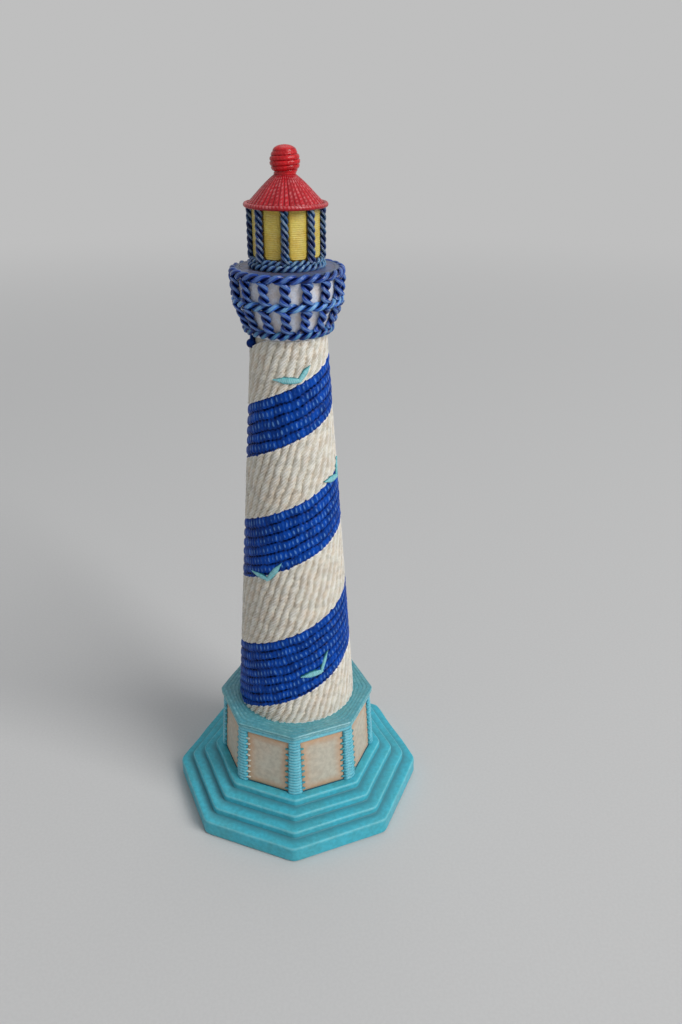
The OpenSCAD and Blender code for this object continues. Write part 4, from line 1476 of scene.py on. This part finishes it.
@dataclass
class Tower:
    """The tower's two spiral bands and the gulls on them.

    Attributes:
        form: The tower.
        row_w: Width of one row of the blue band.
        stitch_pitch: Distance from one stitch to the next along a row.
        stitch_lean: Lean of the blue stitches from level.
        cord_pitch: Distance along the cream band from one cord to the next.
        cord_lean: Lean of the cream cords from level.
        cord_lay: Length of one full turn of a cream cord's strands.
        cord_bend: How far a cord's foot is drawn back along the band, over the length cord_bend_h.
        cord_bend_h: Length over which it bends.
        tail_turn: Turn at which the blue band ends under the gallery, with a bead on its end.
        bead_d: Diameter of the bead.
        gulls: The gulls.
    """

    form: TowerForm
    row_w: float = 3.6
    stitch_pitch: float = 1.72
    stitch_lean: float = math.radians(103)
    cord_pitch: float = 3.75
    cord_lean: float = math.radians(72)
    cord_lay: float = 5.2
    cord_bend: float = 1.3
    cord_bend_h: float = 6.0
    tail_turn: float = 17.6
    bead_d: float = 3.1
    gulls: tuple[Gull, ...] = (
        Gull(-74.3, 0.912, (-9.0, 0.3), (4.1, 4.8), (2.3, 1.9)),
        Gull(-16, 0.655, (-8.1, 0.6), (2.6, 6.6), (2.4, 1.8)),
        Gull(-117.2, 0.414, (-8.0, 0.8), (5.4, 7.4), (1.8, 2.2)),
        Gull(-61.6, 0.148, (-8.1, -0.9), (3.3, 8.2), (2.4, 1.5)),
        Gull(62, 0.77), Gull(140, 0.56), Gull(48, 0.3),
    )

    def build(self) -> None:
        """Makes the bands and the gulls."""
        dress_node("tower_core", RESIN)
        add_piece("blue_band_stitched", [self.blue(), self.bead()], BLUE_CORD, ("blue_band",), 80)
        add_piece("cream_band_corded", [self.cream()], CREAM_CORD, ("cream_band",), 80)
        wings = [wing for gull in self.gulls for wing in self.gull(gull)]
        add_piece("gulls_stitched", wings, GULL, ("gulls",), 70)

    def close_back(self, grid: BandGrid, place: Array, ends: Array, face: Array, layers: Layers) -> Patch:
        """Closes a band with its back on the tower's core.

        Args:
            grid: The band's grid.
            place: Places of the lines, one a row.
            ends: Distances along each line of the upper and the lower edge.
            face: Points of the outer face.
            layers: Layers of the outer face.

        Returns:
            The closed patch.
        """
        overlap = 0.1
        turn, rise = grid.surface(place[:, None], ends)
        back = grid.form.point(turn, rise, overlap - grid.form.band_t)
        return closed_skin(face, back, layers)

    def blue(self) -> Patch:
        """The blue band: rows of one width from its upper edge down, each of stitches that stand across it.

        With p along the row and q across it, both from -1 to 1 over a stitch, a grain's height is
        (1 - 0.3 |p| ^ 2.2 - 0.9 |q| ^ 2.6) ^ 0.5. Its crest is a narrower oval, set off the stitch's middle
        towards the light: a painted highlight in the light paint. The outer stitches reach
        a little over the band's edges, and the lowest row is cut where the band narrows.

        Returns:
            The band.
        """
        form, samples, columns = self.form, 8, 48
        row_wave, phase_wave, slant, overhang = 0.07, 0.15, 0.3, 0.3
        groove_lift, stitch_h, uneven_h, edge_share, edge_power = -1.05, 1.07, 0.16, 0.4, 30
        grain_crest, painted_glint_crest, uneven_crest, most_rows = 0.64, 0.32, 0.4, 16
        phases = (0.0, form.blue_share)
        grid = BandGrid(form, phases, self.stitch_lean, self.stitch_pitch, samples, self.tail_turn)
        count, place = grid.lines()
        low, high = grid.span(place)
        share = np.linspace(0, 1, columns)
        along = low[:, None] + (high - low)[:, None] * share
        across = grid.share_across(along)
        turn, rise = grid.surface(place[:, None], along)
        spot = form.point(turn, rise, 0.0)
        radius = form.radius(rise)
        total = TURN * form.blue_share * math.sin(form.climb) * radius / self.row_w
        down = np.clip((1 - across) * total + row_wave * waviness(spot, 9, 71), 0, None)
        row = np.floor(down)
        phase = count[:, None] + scatter(row, 1.3) + phase_wave * waviness(spot, 6, 72)
        number = np.floor(phase) * most_rows + row
        uneven = scatter(number, 3.7) - 0.5
        q = 1 - 2 * np.mod(down, 1)
        p = 2 * np.mod(phase, 1) - 1
        p = p + slant * (scatter(number, 6.1) - 0.5) * (1 - np.abs(p)) * q
        grain = np.sqrt(np.clip(1 - 0.3 * np.abs(p) ** 2.2 - 0.9 * np.abs(q) ** 2.6, 0, 1))
        ends = edge_share + (1 - edge_share) * round_back(share, edge_power)
        lift = groove_lift + grain * (stitch_h + uneven_h * uneven) * ends
        edge = np.clip(1 - across * total, 0, 1) ** 2 - np.clip(1 - (1 - across) * total, 0, 1) ** 2
        turn, rise = grid.surface(place[:, None], along - overhang * edge * (1 - p**2) / radius)
        # Painted highlight: a small oval on each stitch, set off its middle towards the light, lifts the
        # crest into the light paint.
        painted_glint = np.clip(1 - ((p - 0.12) / 0.4) ** 2 - ((q - 0.1) / 0.6) ** 2, 0, 1)
        layers = {
            "crest": grain_crest * grain + (painted_glint_crest + uneven_crest * uneven) * painted_glint,
            "tint": scatter(number, 8.2),
        }
        edges = np.stack([high, low], axis=-1)
        return self.close_back(grid, place, edges, form.point(turn, rise, lift), layers)

    def bead(self) -> Patch:
        """The round knot on the end of the blue band, as a ball of rings.

        Returns:
            The bead.
        """
        rings, around, pole, dark, sunk, below_top, before_tail = 16, 24, 0.02, 0.1, 0.2, 0.95, 0.03
        angle = np.linspace(pole, math.pi - pole, rings)[:, None]
        rise = self.form.rise_at(self.form.top - self.bead_d * below_top)
        middle = self.form.point(self.tail_turn - before_tail, rise, -sunk)
        ball = polar_points(np.sin(angle), round_angles(around), np.cos(angle))
        # Painted shade: the crest falls from the ball's top to its underside, where the wash darkens it.
        return Patch(middle + self.bead_d / 2 * ball, {"crest": 0.4 + 0.2 * np.cos(angle), "tint": dark})

    def cream(self) -> Patch:
        """The cream band: cords that lean across it, each laid of three strands.

        Over the last of the blue band, from its tail to the tower's top, the cords run on to the top.

        Returns:
            The band.
        """
        form, samples, columns, strands, tuck = self.form, 9, 88, 3, 0.008
        wander, uneven_lay, laid_share, edge_power = 0.1, 0.12, 0.72, 40
        groove_lift, cord_h, uneven_h, edge_crest, rim_w, edge_painted_highlight = -0.84, 0.84, 0.07, 0.35, 0.9, 0.9
        phases = (form.blue_share - tuck, 1 + tuck)
        grid = BandGrid(form, phases, self.cord_lean, self.cord_pitch, samples)
        count, place = grid.lines()
        low, high = grid.span(place)
        meets = place * math.cos(form.climb) + high * math.cos(self.cord_lean)
        to_top = (form.rise_at(form.top) - place * math.sin(form.climb)) / math.sin(self.cord_lean)
        high = np.where(meets > self.tail_turn, to_top, high)
        share = np.linspace(0, 1, columns)
        along = low[:, None] + (high - low)[:, None] * share
        turn, rise = grid.surface(place[:, None], along)
        spot = form.point(turn, rise, 0.0)
        phase = count[:, None] + wander * waviness(spot, 6, 73)
        cord = np.floor(phase)
        part = np.mod(phase, 1)
        lay = 1 + uneven_lay * (scatter(cord, 1.9) - 0.5)
        angle = TURN * (grid.length(place[:, None], along) / self.cord_lay * lay + scatter(cord, 2.9))
        laid = laid_back(2 * part - 1, angle, strands)
        rope = laid_share * laid + (1 - laid_share) * round_back(part, ROUND)
        ends = round_back(share, edge_power)
        lift = groove_lift + ends * rope * (cord_h + uneven_h * waviness(spot, 5, 5))
        radius = form.radius(rise)
        from_edge = (along - low[:, None]) * radius
        bend = self.cord_bend * np.clip(1 - from_edge / self.cord_bend_h, 0, 1) ** 2 / radius
        turn, rise = grid.surface(place[:, None] - bend, along)
        # Painted highlight: near both edges the crest rises into the light paint, a pale line along the
        # cords' ends.
        rim = np.clip(1 - np.minimum(from_edge, (high[:, None] - along) * radius) / rim_w, 0, 1)
        layers = {
            "crest": np.clip(rope * (edge_crest + (1 - edge_crest) * ends), 0, 1) + edge_painted_highlight * rim,
            "tint": scatter(11 * cord + np.floor(strands * angle / TURN + part), 4.4),
        }
        edges = np.stack([high, low], axis=-1)
        return self.close_back(grid, place, edges, form.point(turn, rise, lift), layers)

    def gull(self, gull: Gull) -> list[Patch]:
        """Makes the two wings of one gull.

        Args:
            gull: Its place and its wings.

        Returns:
            The wings.
        """
        z = self.form.foot + (self.form.top - self.form.foot) * gull.height
        turn, rise = math.radians(gull.azimuth) - FRONT, self.form.rise_at(z)
        radius = self.form.radius(rise)
        wings = []
        for (reach, climb), width in zip((gull.level, gull.raised), gull.widths):
            wings.append(self.wing(turn, rise, reach / radius, climb / radius, width / radius))
        return wings

    def wing(self, turn: float, rise: float, reach: float, climb: float, width: float) -> Patch:
        """One wing: a satin-stitched leaf that is widest past its middle and runs out to a point.

        A point at share s along and t across lies at root + s (reach, climb) + t w(s) across, with
        w(s) = width / 2 (0.62 + 0.38 sin(pi s ^ 0.8)) up to the tip's taper, lifted by a round back over t.

        Args:
            turn: Turn of the root.
            rise: Rise of the root.
            reach: Turn from root to tip.
            climb: Rise from root to tip.
            width: Greatest width, in the same scale.

        Returns:
            The wing.
        """
        rows, columns, stitches, slant = 57, 9, 13, 0.6
        root, root_w, taper_share, lift_h, sunk, thin = -0.09, 0.1, 0.42, 0.62, 0.8, 0.35
        s = np.linspace(root, 1, rows)[:, None]
        t = np.linspace(-1, 1, columns)
        length = math.hypot(reach, climb)
        side = (-climb / length, reach / length)
        inside = np.clip(s, 0, 1)
        tip = np.clip((1 - inside) / taper_share, 0.02, 1) ** 0.75
        start = np.sqrt(np.clip((s + root_w) / root_w, 0, 1))
        off = t * width / 2 * (0.62 + 0.38 * np.sin(math.pi * inside**0.8)) * tip * start
        edges = off[:, [-1, 0]]
        stitch = round_back(np.mod(s * stitches + slant * t, 1), FULL)
        back = round_back((t + 1) / 2, ROUND)
        lift = lift_h * back * (0.7 + 0.3 * stitch) * (1 - thin * inside)
        out, up = turn + s * reach, rise + s * climb
        face = self.form.point(out + side[0] * off, up + side[1] * off, lift)
        under = self.form.point(out + side[0] * edges, up + side[1] * edges, -sunk)
        layers = {"crest": back * (0.4 + 0.6 * stitch), "tint": scatter(np.floor(s * stitches), 3.3)}
        return closed_skin(face, under, layers, 0.5)


# ---- gallery ----


@dataclass
class Gallery:
    """The roped gallery at the tower's top.

    Attributes:
        top: Height of the tower's top.
        heights: Heights of the three ropes' centres above the tower's top.
        radii: Radii of the ropes' centre lines.
        turns: Full turns of the strands in each ring.
        rope_d: Diameter of the ropes.
        rope_bed: Depth of a rope's centre line in front of the wall.
        uprights: Uprights in each row.
        upright_d: Diameter of the uprights.
        upright_lay: Length of one full turn of an upright's strands.
    """

    top: float
    heights: Triple = (2.0, 11.4, 20.2)
    radii: Triple = (13.9, 16.95, 17.45)
    turns: int = 13
    rope_d: float = 3.0
    rope_bed: float = 0.55
    uprights: int = 16
    upright_d: float = 2.5
    upright_lay: float = 5.6

    def build(self) -> None:
        """Makes the ropes and uprights, and gives the wall and the deck their finishes."""
        dress_node("gallery_wall", WHITE_WALL)
        dress_node("gallery_deck", DECK_PAINTED_SHADE)
        rope = RopeForm(self.rope_d / 2)
        names = ("gallery_low_rope", "gallery_mid_rope", "gallery_rim_rope")
        finishes = (TEAL_ROPE, MID_ROPE_PAINTED_LIGHT, RIM_ROPE)
        for name, finish, height, radius in zip(names, finishes, self.heights, self.radii):
            patches = rope.level_ring(radius, self.top + height, self.turns, seed=height)
            add_piece(name + "_twisted", patches, finish, (name,), 80)
        for name, lower, upper in (("lower_uprights", 0, 1), ("upper_uprights", 1, 2)):
            patches = [patch for k in range(self.uprights) for patch in self.upright(k, lower, upper)]
            add_piece(name + "_twisted", patches, BLUE_ROPE, (name,), 80)

    def upright(self, k: int, lower: int, upper: int) -> list[Patch]:
        """One upright, with its ends inside the two ropes that it joins.

        Args:
            k: Its number, from the front.
            lower: Number of the rope at its foot.
            upper: Number of the rope at its top.

        Returns:
            The strands' patches.
        """
        rope = RopeForm(self.upright_d / 2, sides=18, rings_per_turn=24)
        sunk, pressed, flare = self.rope_d / 2 - 0.5, 0.2, 1.1
        out = self.upright_d / 2 - pressed - self.rope_bed
        foot = (self.radii[lower] + out, self.top + self.heights[lower] + sunk)
        top = (self.radii[upper] + out, self.top + self.heights[upper] - sunk)
        azimuth = FRONT + TURN * k / self.uprights
        return rope.upright(azimuth, foot, top, self.upright_lay, seed=k + 20 * upper, flare=flare)


# ---- lantern and roof ----


@dataclass
class Lantern:
    """The eight-sided lantern: yellow panes between ropes up its corners, and two ropes round its foot.

    Attributes:
        core_w: Width of its core across opposite corners.
        foot_rope_h: Height of the two ropes round its foot, one above the other.
        foot_ropes: Each of them as its diameter, radius past the core's corners and height above the deck.
        corner_rope_d: Diameter of the ropes up its corners.
        foot_lay: Length of one full turn of the foot ropes' strands.
        rope_lay: Length of one full turn of the corner ropes' strands.
        pane_threads: Threads across each pane.
        pane_t: Thickness of a pane.
        pane_w: Width of a pane.
        pane_corner: Rounding of a pane's lower corners.
    """

    core_w: float = 21.6
    foot_rope_h: float = 3.4
    foot_ropes: tuple[Triple, ...] = ((2.3, 0.7, 1.0), (2.0, 0.3, 2.5))
    corner_rope_d: float = 2.5
    foot_lay: float = 4.8
    rope_lay: float = 6.6
    pane_threads: int = 23
    pane_t: float = 0.55
    pane_w: float = 6.1
    pane_corner: float = 1.3

    def __post_init__(self) -> None:
        """Reads the deck's and the roof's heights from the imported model."""
        self.deck = high_of("gallery_deck")
        self.eave = low_of("roof_cone")
        self.core_r = self.core_w / 2
        self.pane_foot = self.deck + self.foot_rope_h + 0.1

    def build(self) -> None:
        """Makes the panes and the ropes."""
        dress_node("lantern_core", OCHRE)
        panes = [self.pane(k) for k in range(SIDES)]
        add_piece("lantern_panes_threaded", panes, YELLOW, ("lantern_panes",), 70)
        foot = []
        for rope_d, past, height in self.foot_ropes:
            ring_r = self.core_r + past
            turns = round(TURN * ring_r / self.foot_lay)
            rope = RopeForm(rope_d / 2, rings_per_turn=24)
            foot += rope.level_ring(ring_r, self.deck + height, turns, seed=height)
        add_piece("lantern_foot_rope_twisted", foot, FOOT_ROPE, ("lantern_foot_rope",), 80)
        rope = RopeForm(self.corner_rope_d / 2, count=3, sides=14)
        centre_r = self.core_r + self.corner_rope_d / 4
        ends = (centre_r, self.deck + self.foot_rope_h - 0.7), (centre_r, self.eave + 0.1)
        corners = []
        for k in range(SIDES):
            azimuth = FRONT + SIDE_TURN * k
            corners += rope.upright(azimuth, *ends, self.rope_lay, seed=k + 60, flare=0.2, taper=0.2)
        add_piece("lantern_corner_ropes_twisted", corners, LANTERN_ROPE, ("lantern_corner_ropes",), 80)

    def pane(self, k: int) -> Patch:
        """One pane: a slightly round front with a thread for each ridge, square at its top.

        Within a corner's rounding c of its foot, half its width at h is w - c + (c^2 - (c - h)^2) ^ 0.5.

        Args:
            k: Number of the side.

        Returns:
            The pane.
        """
        per_thread, columns, trim, overlap = 6, 15, 0.004, 0.1
        flat, thread_h, swell, edge_power, low_crest, rim_crest = 0.55, 0.2, 0.35, 12, 0.25, 0.4
        height = self.eave - self.pane_foot
        share = np.linspace(trim, 1 - trim, self.pane_threads * per_thread + 1)[:, None]
        across = np.linspace(-1, 1, columns)
        into = np.clip(self.pane_corner - height * share, 0, None)
        half = self.pane_w / 2 - self.pane_corner + np.sqrt(self.pane_corner**2 - into**2)
        thread = round_back(np.mod(share * self.pane_threads, 1), ROUND)
        bow = (across + 1) / 2
        raised = flat + thread_h * thread + swell * round_back(bow, 3)
        out = self.pane_t * raised * round_back(bow, edge_power)
        apothem = self.core_r * math.cos(SIDE_TURN / 2)
        away, along = side_directions(k)
        up = (self.pane_foot + height * share)[..., None] * UP
        front = (apothem + out)[..., None] * away + (half * across)[..., None] * along + up
        edges = half * np.array([[1.0, -1.0]])
        back = (apothem - overlap) * away + edges[..., None] * along + up
        # The crest falls along the pane's sides, and towards its top as painted shade under the brim, so the
        # wash darkens both.
        sides = np.clip(np.minimum(1 - np.abs(across), 0.5) * 2, 0, 1)
        rim = sides * np.clip((1 - share) * 9, 0, 1)
        crest = (low_crest + (1 - low_crest) * thread) * (rim_crest + (1 - rim_crest) * rim)
        return closed_skin(front, back, {"crest": crest})


@dataclass
class Roof:
    """The ribbed roof, its rolled brim and the coiled finial.

    Attributes:
        neck_r: Radius where the finial stands.
        edge_r: Radius where the cone meets the brim.
        brim_r: Radius of the brim's roll.
        ribs: Thread ribs round the cone.
        rib_depth: Depth of the grooves between them.
        coils: Coils of the finial.
        coil_pitch: Height of one coil.
        ball_r: Greatest radius of the finial.
        dome_r: Radius of the flat dome on the top coil.
        dome_h: Height of that dome.
        profile: The cone's profile as (share of the run outwards, share of the height).
    """

    neck_r: float = 3.4
    edge_r: float = 11.9
    brim_r: float = 0.75
    ribs: int = 42
    rib_depth: float = 0.28
    coils: int = 5
    coil_pitch: float = 1.5
    ball_r: float = 4.7
    dome_r: float = 3.7
    dome_h: float = 1.9
    profile: tuple[Pair, ...] = (
        (0, 1), (0.255, 0.807), (0.505, 0.614), (0.82, 0.305), (1, 0.15),
    )

    def __post_init__(self) -> None:
        """Reads the roof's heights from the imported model."""
        self.eave = low_of("roof_cone")
        self.neck = high_of("roof_cone")
        self.tip = high_of("finial")

    def build(self) -> None:
        """Makes the cone, the brim and the finial."""
        add_piece("roof_cone_ribbed", [self.cone()], RED, ("roof_cone",), 75)
        add_piece("roof_brim_rolled", [self.brim()], RED, ("roof_brim",), 75)
        add_piece("finial_coiled", [self.finial()], RED_COIL, ("finial",), 75)

    def cone(self) -> Patch:
        """The cone: its profile turned about the axis, with a round rib for each thread that runs down it.

        The radius is profile(height) - depth (1 - rib), where the ribs are round backs over the azimuth and
        the depth grows from the neck to the brim.

        Returns:
            The cone.
        """
        per_rib, rows, slope, marks, mark_depth, mark_crest = 9, 44, 0.75, 9, 0.1, 0.18
        sway, shift, neck_depth, inner_r, overlap = 0.4, 0.6, 0.35, 3.0, 0.3
        outward, upward = np.array(self.profile).T
        curve = np.polyfit(outward, upward, 3)
        share = np.linspace(1, 0, rows)[:, None]
        height = np.polyval(curve, share) * (self.neck - self.eave)
        radius = self.neck_r + (self.edge_r - self.neck_r) * share
        azimuth = FRONT + round_angles(self.ribs * per_rib)
        phase = (azimuth - FRONT) / TURN * self.ribs
        number = np.floor(phase)
        wander = sway * np.sin(5 * share + 9 * scatter(number, 3.1)) + shift * scatter(number, 4.9)
        uneven = 0.75 + 0.5 * scatter(number, 7.7)
        rib = 1 - uneven * (1 - round_back(np.mod(phase, 1), ROUND))
        strand = 0.5 + 0.5 * np.cos(TURN * (share * marks + wander + 0.5 * np.mod(phase, 1)))
        depth = self.rib_depth * (neck_depth + (1 - neck_depth) * share)
        out = depth * (rib * (1 - mark_depth + mark_depth * strand) - 1)
        points = polar_points(radius + out * slope, azimuth, self.eave + height + out * (1 - slope))
        skirt = polar_points(np.array([[inner_r], [self.edge_r - overlap]]), azimuth, self.eave + 0.02)
        crest = np.concatenate([np.zeros((2, azimuth.size)), rib * (1 - mark_crest + mark_crest * strand)])
        return Patch(np.concatenate([skirt, points]), {"crest": crest, "tint": scatter(number, 5.5)})

    def brim(self) -> Patch:
        """The brim: a roll about the axis, with shallow slanting marks of the thread that covers it.

        Returns:
            The brim.
        """
        marks, per_mark, around, mark_depth, mark_crest, tints, painted_light_side = 72, 5, 16, 0.1, 0.55, 24, 0.7
        azimuth = FRONT + round_angles(marks * per_mark)[:, None]
        angle = round_angles(around)
        share = (azimuth - FRONT) / TURN
        mark = round_back(np.mod(share * marks + angle / TURN, 1), 2.6)
        roll = self.brim_r * (1 - mark_depth + mark_depth * mark)
        centre_r, centre_z = self.edge_r + self.brim_r, self.eave + self.brim_r
        points = polar_points(centre_r + roll * np.cos(angle), azimuth, centre_z + roll * np.sin(angle))
        # Painted light and shade: the crest, and so the light paint, is highest on the side of the roll that
        # faces the light and lowest on its far side.
        crest = (1 - mark_crest + mark_crest * mark) * (0.5 + 0.5 * np.cos(angle - painted_light_side))
        return Patch(points, {"crest": crest, "tint": scatter(np.floor(share * tints), 2.2)}, ring=True)

    def finial(self) -> Patch:
        """The finial: a ball whose radius follows a circle, with one coil that climbs it and closes on top.

        The coil's height share is frac(h / pitch - azimuth / 2 pi), and the radius is the ball's less a
        groove depth times one less the coil's round back.

        Returns:
            The finial.
        """
        rows, columns, groove, threads, thread_h, closing = 96, 120, 0.45, 26, 0.06, 0.9
        least_r, dome_thread_h, tints = 0.25, 0.15, 9
        height = self.tip - self.neck
        azimuth = round_angles(columns)
        h = np.linspace(0, 1, rows)[:, None] * height
        below_top = height - h
        middle = self.coils * self.coil_pitch / 2
        ball = self.ball_r * np.sqrt(np.clip(1 - ((h - middle) / (middle + closing)) ** 2, 0, 1))
        envelope = np.where(h < middle, np.maximum(ball, self.neck_r + 0.1), ball)
        phase = h / self.coil_pitch - azimuth / TURN
        coil = round_back(np.mod(phase, 1), ROUND)
        fade = np.clip(below_top / closing, 0, 1)
        thread = 0.5 + 0.5 * np.cos(threads * azimuth + 5 * np.mod(phase, 1))
        radius = envelope - groove * (1 - coil) * fade + thread_h * thread * coil
        dome_r = self.dome_r * np.sqrt(np.clip(1 - (1 - np.clip(below_top / self.dome_h, 0, 1)) ** 2, 0, 1))
        domed = np.minimum(np.maximum(radius, dome_r), dome_r + dome_thread_h * thread)
        radius = np.maximum(np.where(below_top < self.dome_h, domed, radius), least_r)
        points = polar_points(radius, azimuth, self.neck + h)
        crest = coil * (0.7 + 0.3 * thread)
        tint = scatter(np.floor(azimuth / TURN * tints) + 13 * np.floor(phase), 4.1)
        return Patch(points, {"crest": crest, "tint": tint})


# ---- floor, lights and camera ----


@dataclass
class Lamp:
    """A soft square lamp.

    Attributes:
        name: Its name.
        place: Where it stands, in metres.
        size: Width of its face, in metres.
        power: Its power in watts.
        colour: Its colour, linear.
    """

    name: str
    place: Triple
    size: float
    power: float
    colour: Triple = (1.0, 1.0, 1.0)

    def build(self, target: Triple) -> None:
        """Adds the lamp, with its face towards a target.

        Args:
            target: Place that it lights, in metres.
        """
        light = bpy.data.lights.new(self.name, "AREA")
        light.shape = "SQUARE"
        light.size = self.size
        light.energy = self.power
        light.color = self.colour
        towards = np.array(target) - np.array(self.place)
        add_object(self.name, light).matrix_world = facing_matrix(self.place, towards, 0.0)


def facing_matrix(place: Triple, towards: Array, roll: float) -> Matrix:
    """Matrix of a lamp or camera at a place that looks along a direction.

    Args:
        place: Where it stands, in metres.
        towards: Direction in which it looks.
        roll: Turn of its upper side about that direction, towards its right, in radians.

    Returns:
        The matrix.
    """
    ahead = np.asarray(towards, float) / np.linalg.norm(towards)
    right = np.cross(ahead, UP)
    right /= np.linalg.norm(right)
    above = np.cross(right, ahead)
    turned_right = math.cos(roll) * right + math.sin(roll) * above
    turned_above = math.cos(roll) * above - math.sin(roll) * right
    columns = np.stack([turned_right, turned_above, -ahead, np.array(place, float)], axis=-1)
    return Matrix([list(row) for row in columns] + [[0, 0, 0, 1]])


@dataclass
class Studio:
    """The pale floor, the soft lamps, the world and the camera.

    Attributes:
        floor_r: Radius of the floor, in metres.
        floor_colour: Colour of the floor, linear grey.
        backdrop: Grey that the camera sees behind the object, linear.
        world_strength: Strength of the world's light.
        camera_place: Where the camera stands, in metres.
        camera_yaw: Its turn from +Y towards +X, in degrees.
        camera_pitch: How far it looks down, in degrees.
        camera_roll: Its roll, in degrees.
        focal_px: Its focal length, as pixels of an image that is 1024 high.
        image_h: Height of the image.
        target: The place that the lamps face, in metres.
        lamps: The lamps.
    """

    floor_r: float = 6.0
    floor_colour: float = 0.64
    backdrop: float = 0.52
    world_strength: float = 0.27
    camera_place: Triple = (0.01402, -0.28555, 0.26305)
    camera_yaw: float = 0.745
    camera_pitch: float = 26.04
    camera_roll: float = 0.256
    focal_px: float = 863.6
    image_h: int = 1024
    target: Triple = (0.0, 0.0, 0.11)
    lamps: tuple[Lamp, ...] = (
        Lamp("key", (2.03, -1.4, 2.0), 1.6, 71.0, (1.0, 0.99, 0.97)),
        Lamp("fill", (-2.0, -1.8, 1.4), 2.0, 3.0, (1.0, 0.95, 0.86)),
        Lamp("top", (0.2, 1.1, 2.7), 2.0, 11.0),
    )

    def build(self) -> None:
        """Adds everything round the object."""
        self.build_floor()
        self.build_world()
        for lamp in self.lamps:
            lamp.build(self.target)
        self.build_camera()
        bpy.context.scene.view_settings.view_transform = "Standard"

    def build_floor(self) -> None:
        """Adds the floor: a disc that turns into the backdrop's grey away from the object."""
        corners, fade_from, fade_to, speck_scale, speck_share = 96, 0.35, 1.6, 900.0, 0.015
        ring = polar_points(self.floor_r, round_angles(corners), 0.0)
        mesh = bpy.data.meshes.new("floor")
        mesh.from_pydata([tuple(point) for point in ring], [], [tuple(range(corners))])
        floor = add_object("floor", mesh)
        material = bpy.data.materials.new("pale_floor")
        graph = blank_graph(material)
        place = graph.add("TexCoord").outputs["Object"]
        distance = graph.add("VectorMath", {"operation": "LENGTH"}, _0=place).outputs["Value"]
        far = graph.ramp(distance, fade_from, fade_to)
        dark, bright = self.floor_colour * (1 - speck_share), self.floor_colour * (1 + speck_share)
        speck = graph.ramp(graph.noise(place, speck_scale), NOISE_LOW, NOISE_HIGH, dark, bright)
        near = graph.add("BsdfDiffuse", Color=speck)
        glow = graph.add("Emission", Color=(self.backdrop,) * 3 + (1.0,), Strength=1.0)
        seen = graph.maths(Sum.MULTIPLY, far, self.seen_rays(graph))
        blend = graph.add("MixShader", _0=seen, _1=near.outputs[0], _2=glow.outputs[0])
        graph.add("OutputMaterial", Surface=blend.outputs[0])
        mesh.materials.append(material)

    def seen_rays(self, graph: Graph) -> Socket:
        """Marks the rays that show the background itself: the camera's, reflections' and those through glass.

        Args:
            graph: The graph that gets the nodes.

        Returns:
            1 for those rays, and 0 for others.
        """
        path = graph.add("LightPath").outputs
        first = graph.maths(Sum.MAXIMUM, path["Is Camera Ray"], path["Is Glossy Ray"])
        return graph.maths(Sum.MAXIMUM, first, path["Is Transmission Ray"])

    def build_world(self) -> None:
        """Adds the world: plain soft light, and the backdrop's grey where it shows."""
        world = bpy.data.worlds.new("studio")
        bpy.context.scene.world = world
        graph = blank_graph(world)
        lit = graph.add("Background", Color=(0.93, 0.96, 1.0, 1), Strength=self.world_strength)
        shown = graph.add("Background", Color=(self.backdrop,) * 3 + (1.0,), Strength=1.0)
        blend = graph.add("MixShader", _0=self.seen_rays(graph), _1=lit.outputs[0], _2=shown.outputs[0])
        graph.add("OutputWorld", Surface=blend.outputs[0])

    def build_camera(self) -> None:
        """Adds the camera, with the photograph's place, direction and focal length."""
        yaw, pitch = math.radians(self.camera_yaw), math.radians(self.camera_pitch)
        ahead = [math.sin(yaw) * math.cos(pitch), math.cos(yaw) * math.cos(pitch), -math.sin(pitch)]
        data = bpy.data.cameras.new("camera")
        data.sensor_fit = "VERTICAL"
        data.sensor_height = 36.0
        data.lens = self.focal_px / self.image_h * data.sensor_height
        data.clip_start = 0.01
        camera = add_object("camera", data)
        roll = math.radians(self.camera_roll)
        camera.matrix_world = facing_matrix(self.camera_place, np.array(ahead), roll)
        bpy.context.scene.camera = camera


def main() -> None:
    """Builds the studio and the ornament from its base up."""
    logging.basicConfig(level=logging.INFO, format="%(message)s")
    Studio().build()
    Base().build()
    Plinth().build()
    form = TowerForm(low_of("blue_band"), high_of("blue_band"))
    Tower(form).build()
    Gallery(form.top).build()
    Lantern().build()
    Roof().build()


if __name__ == "__main__":
    main()
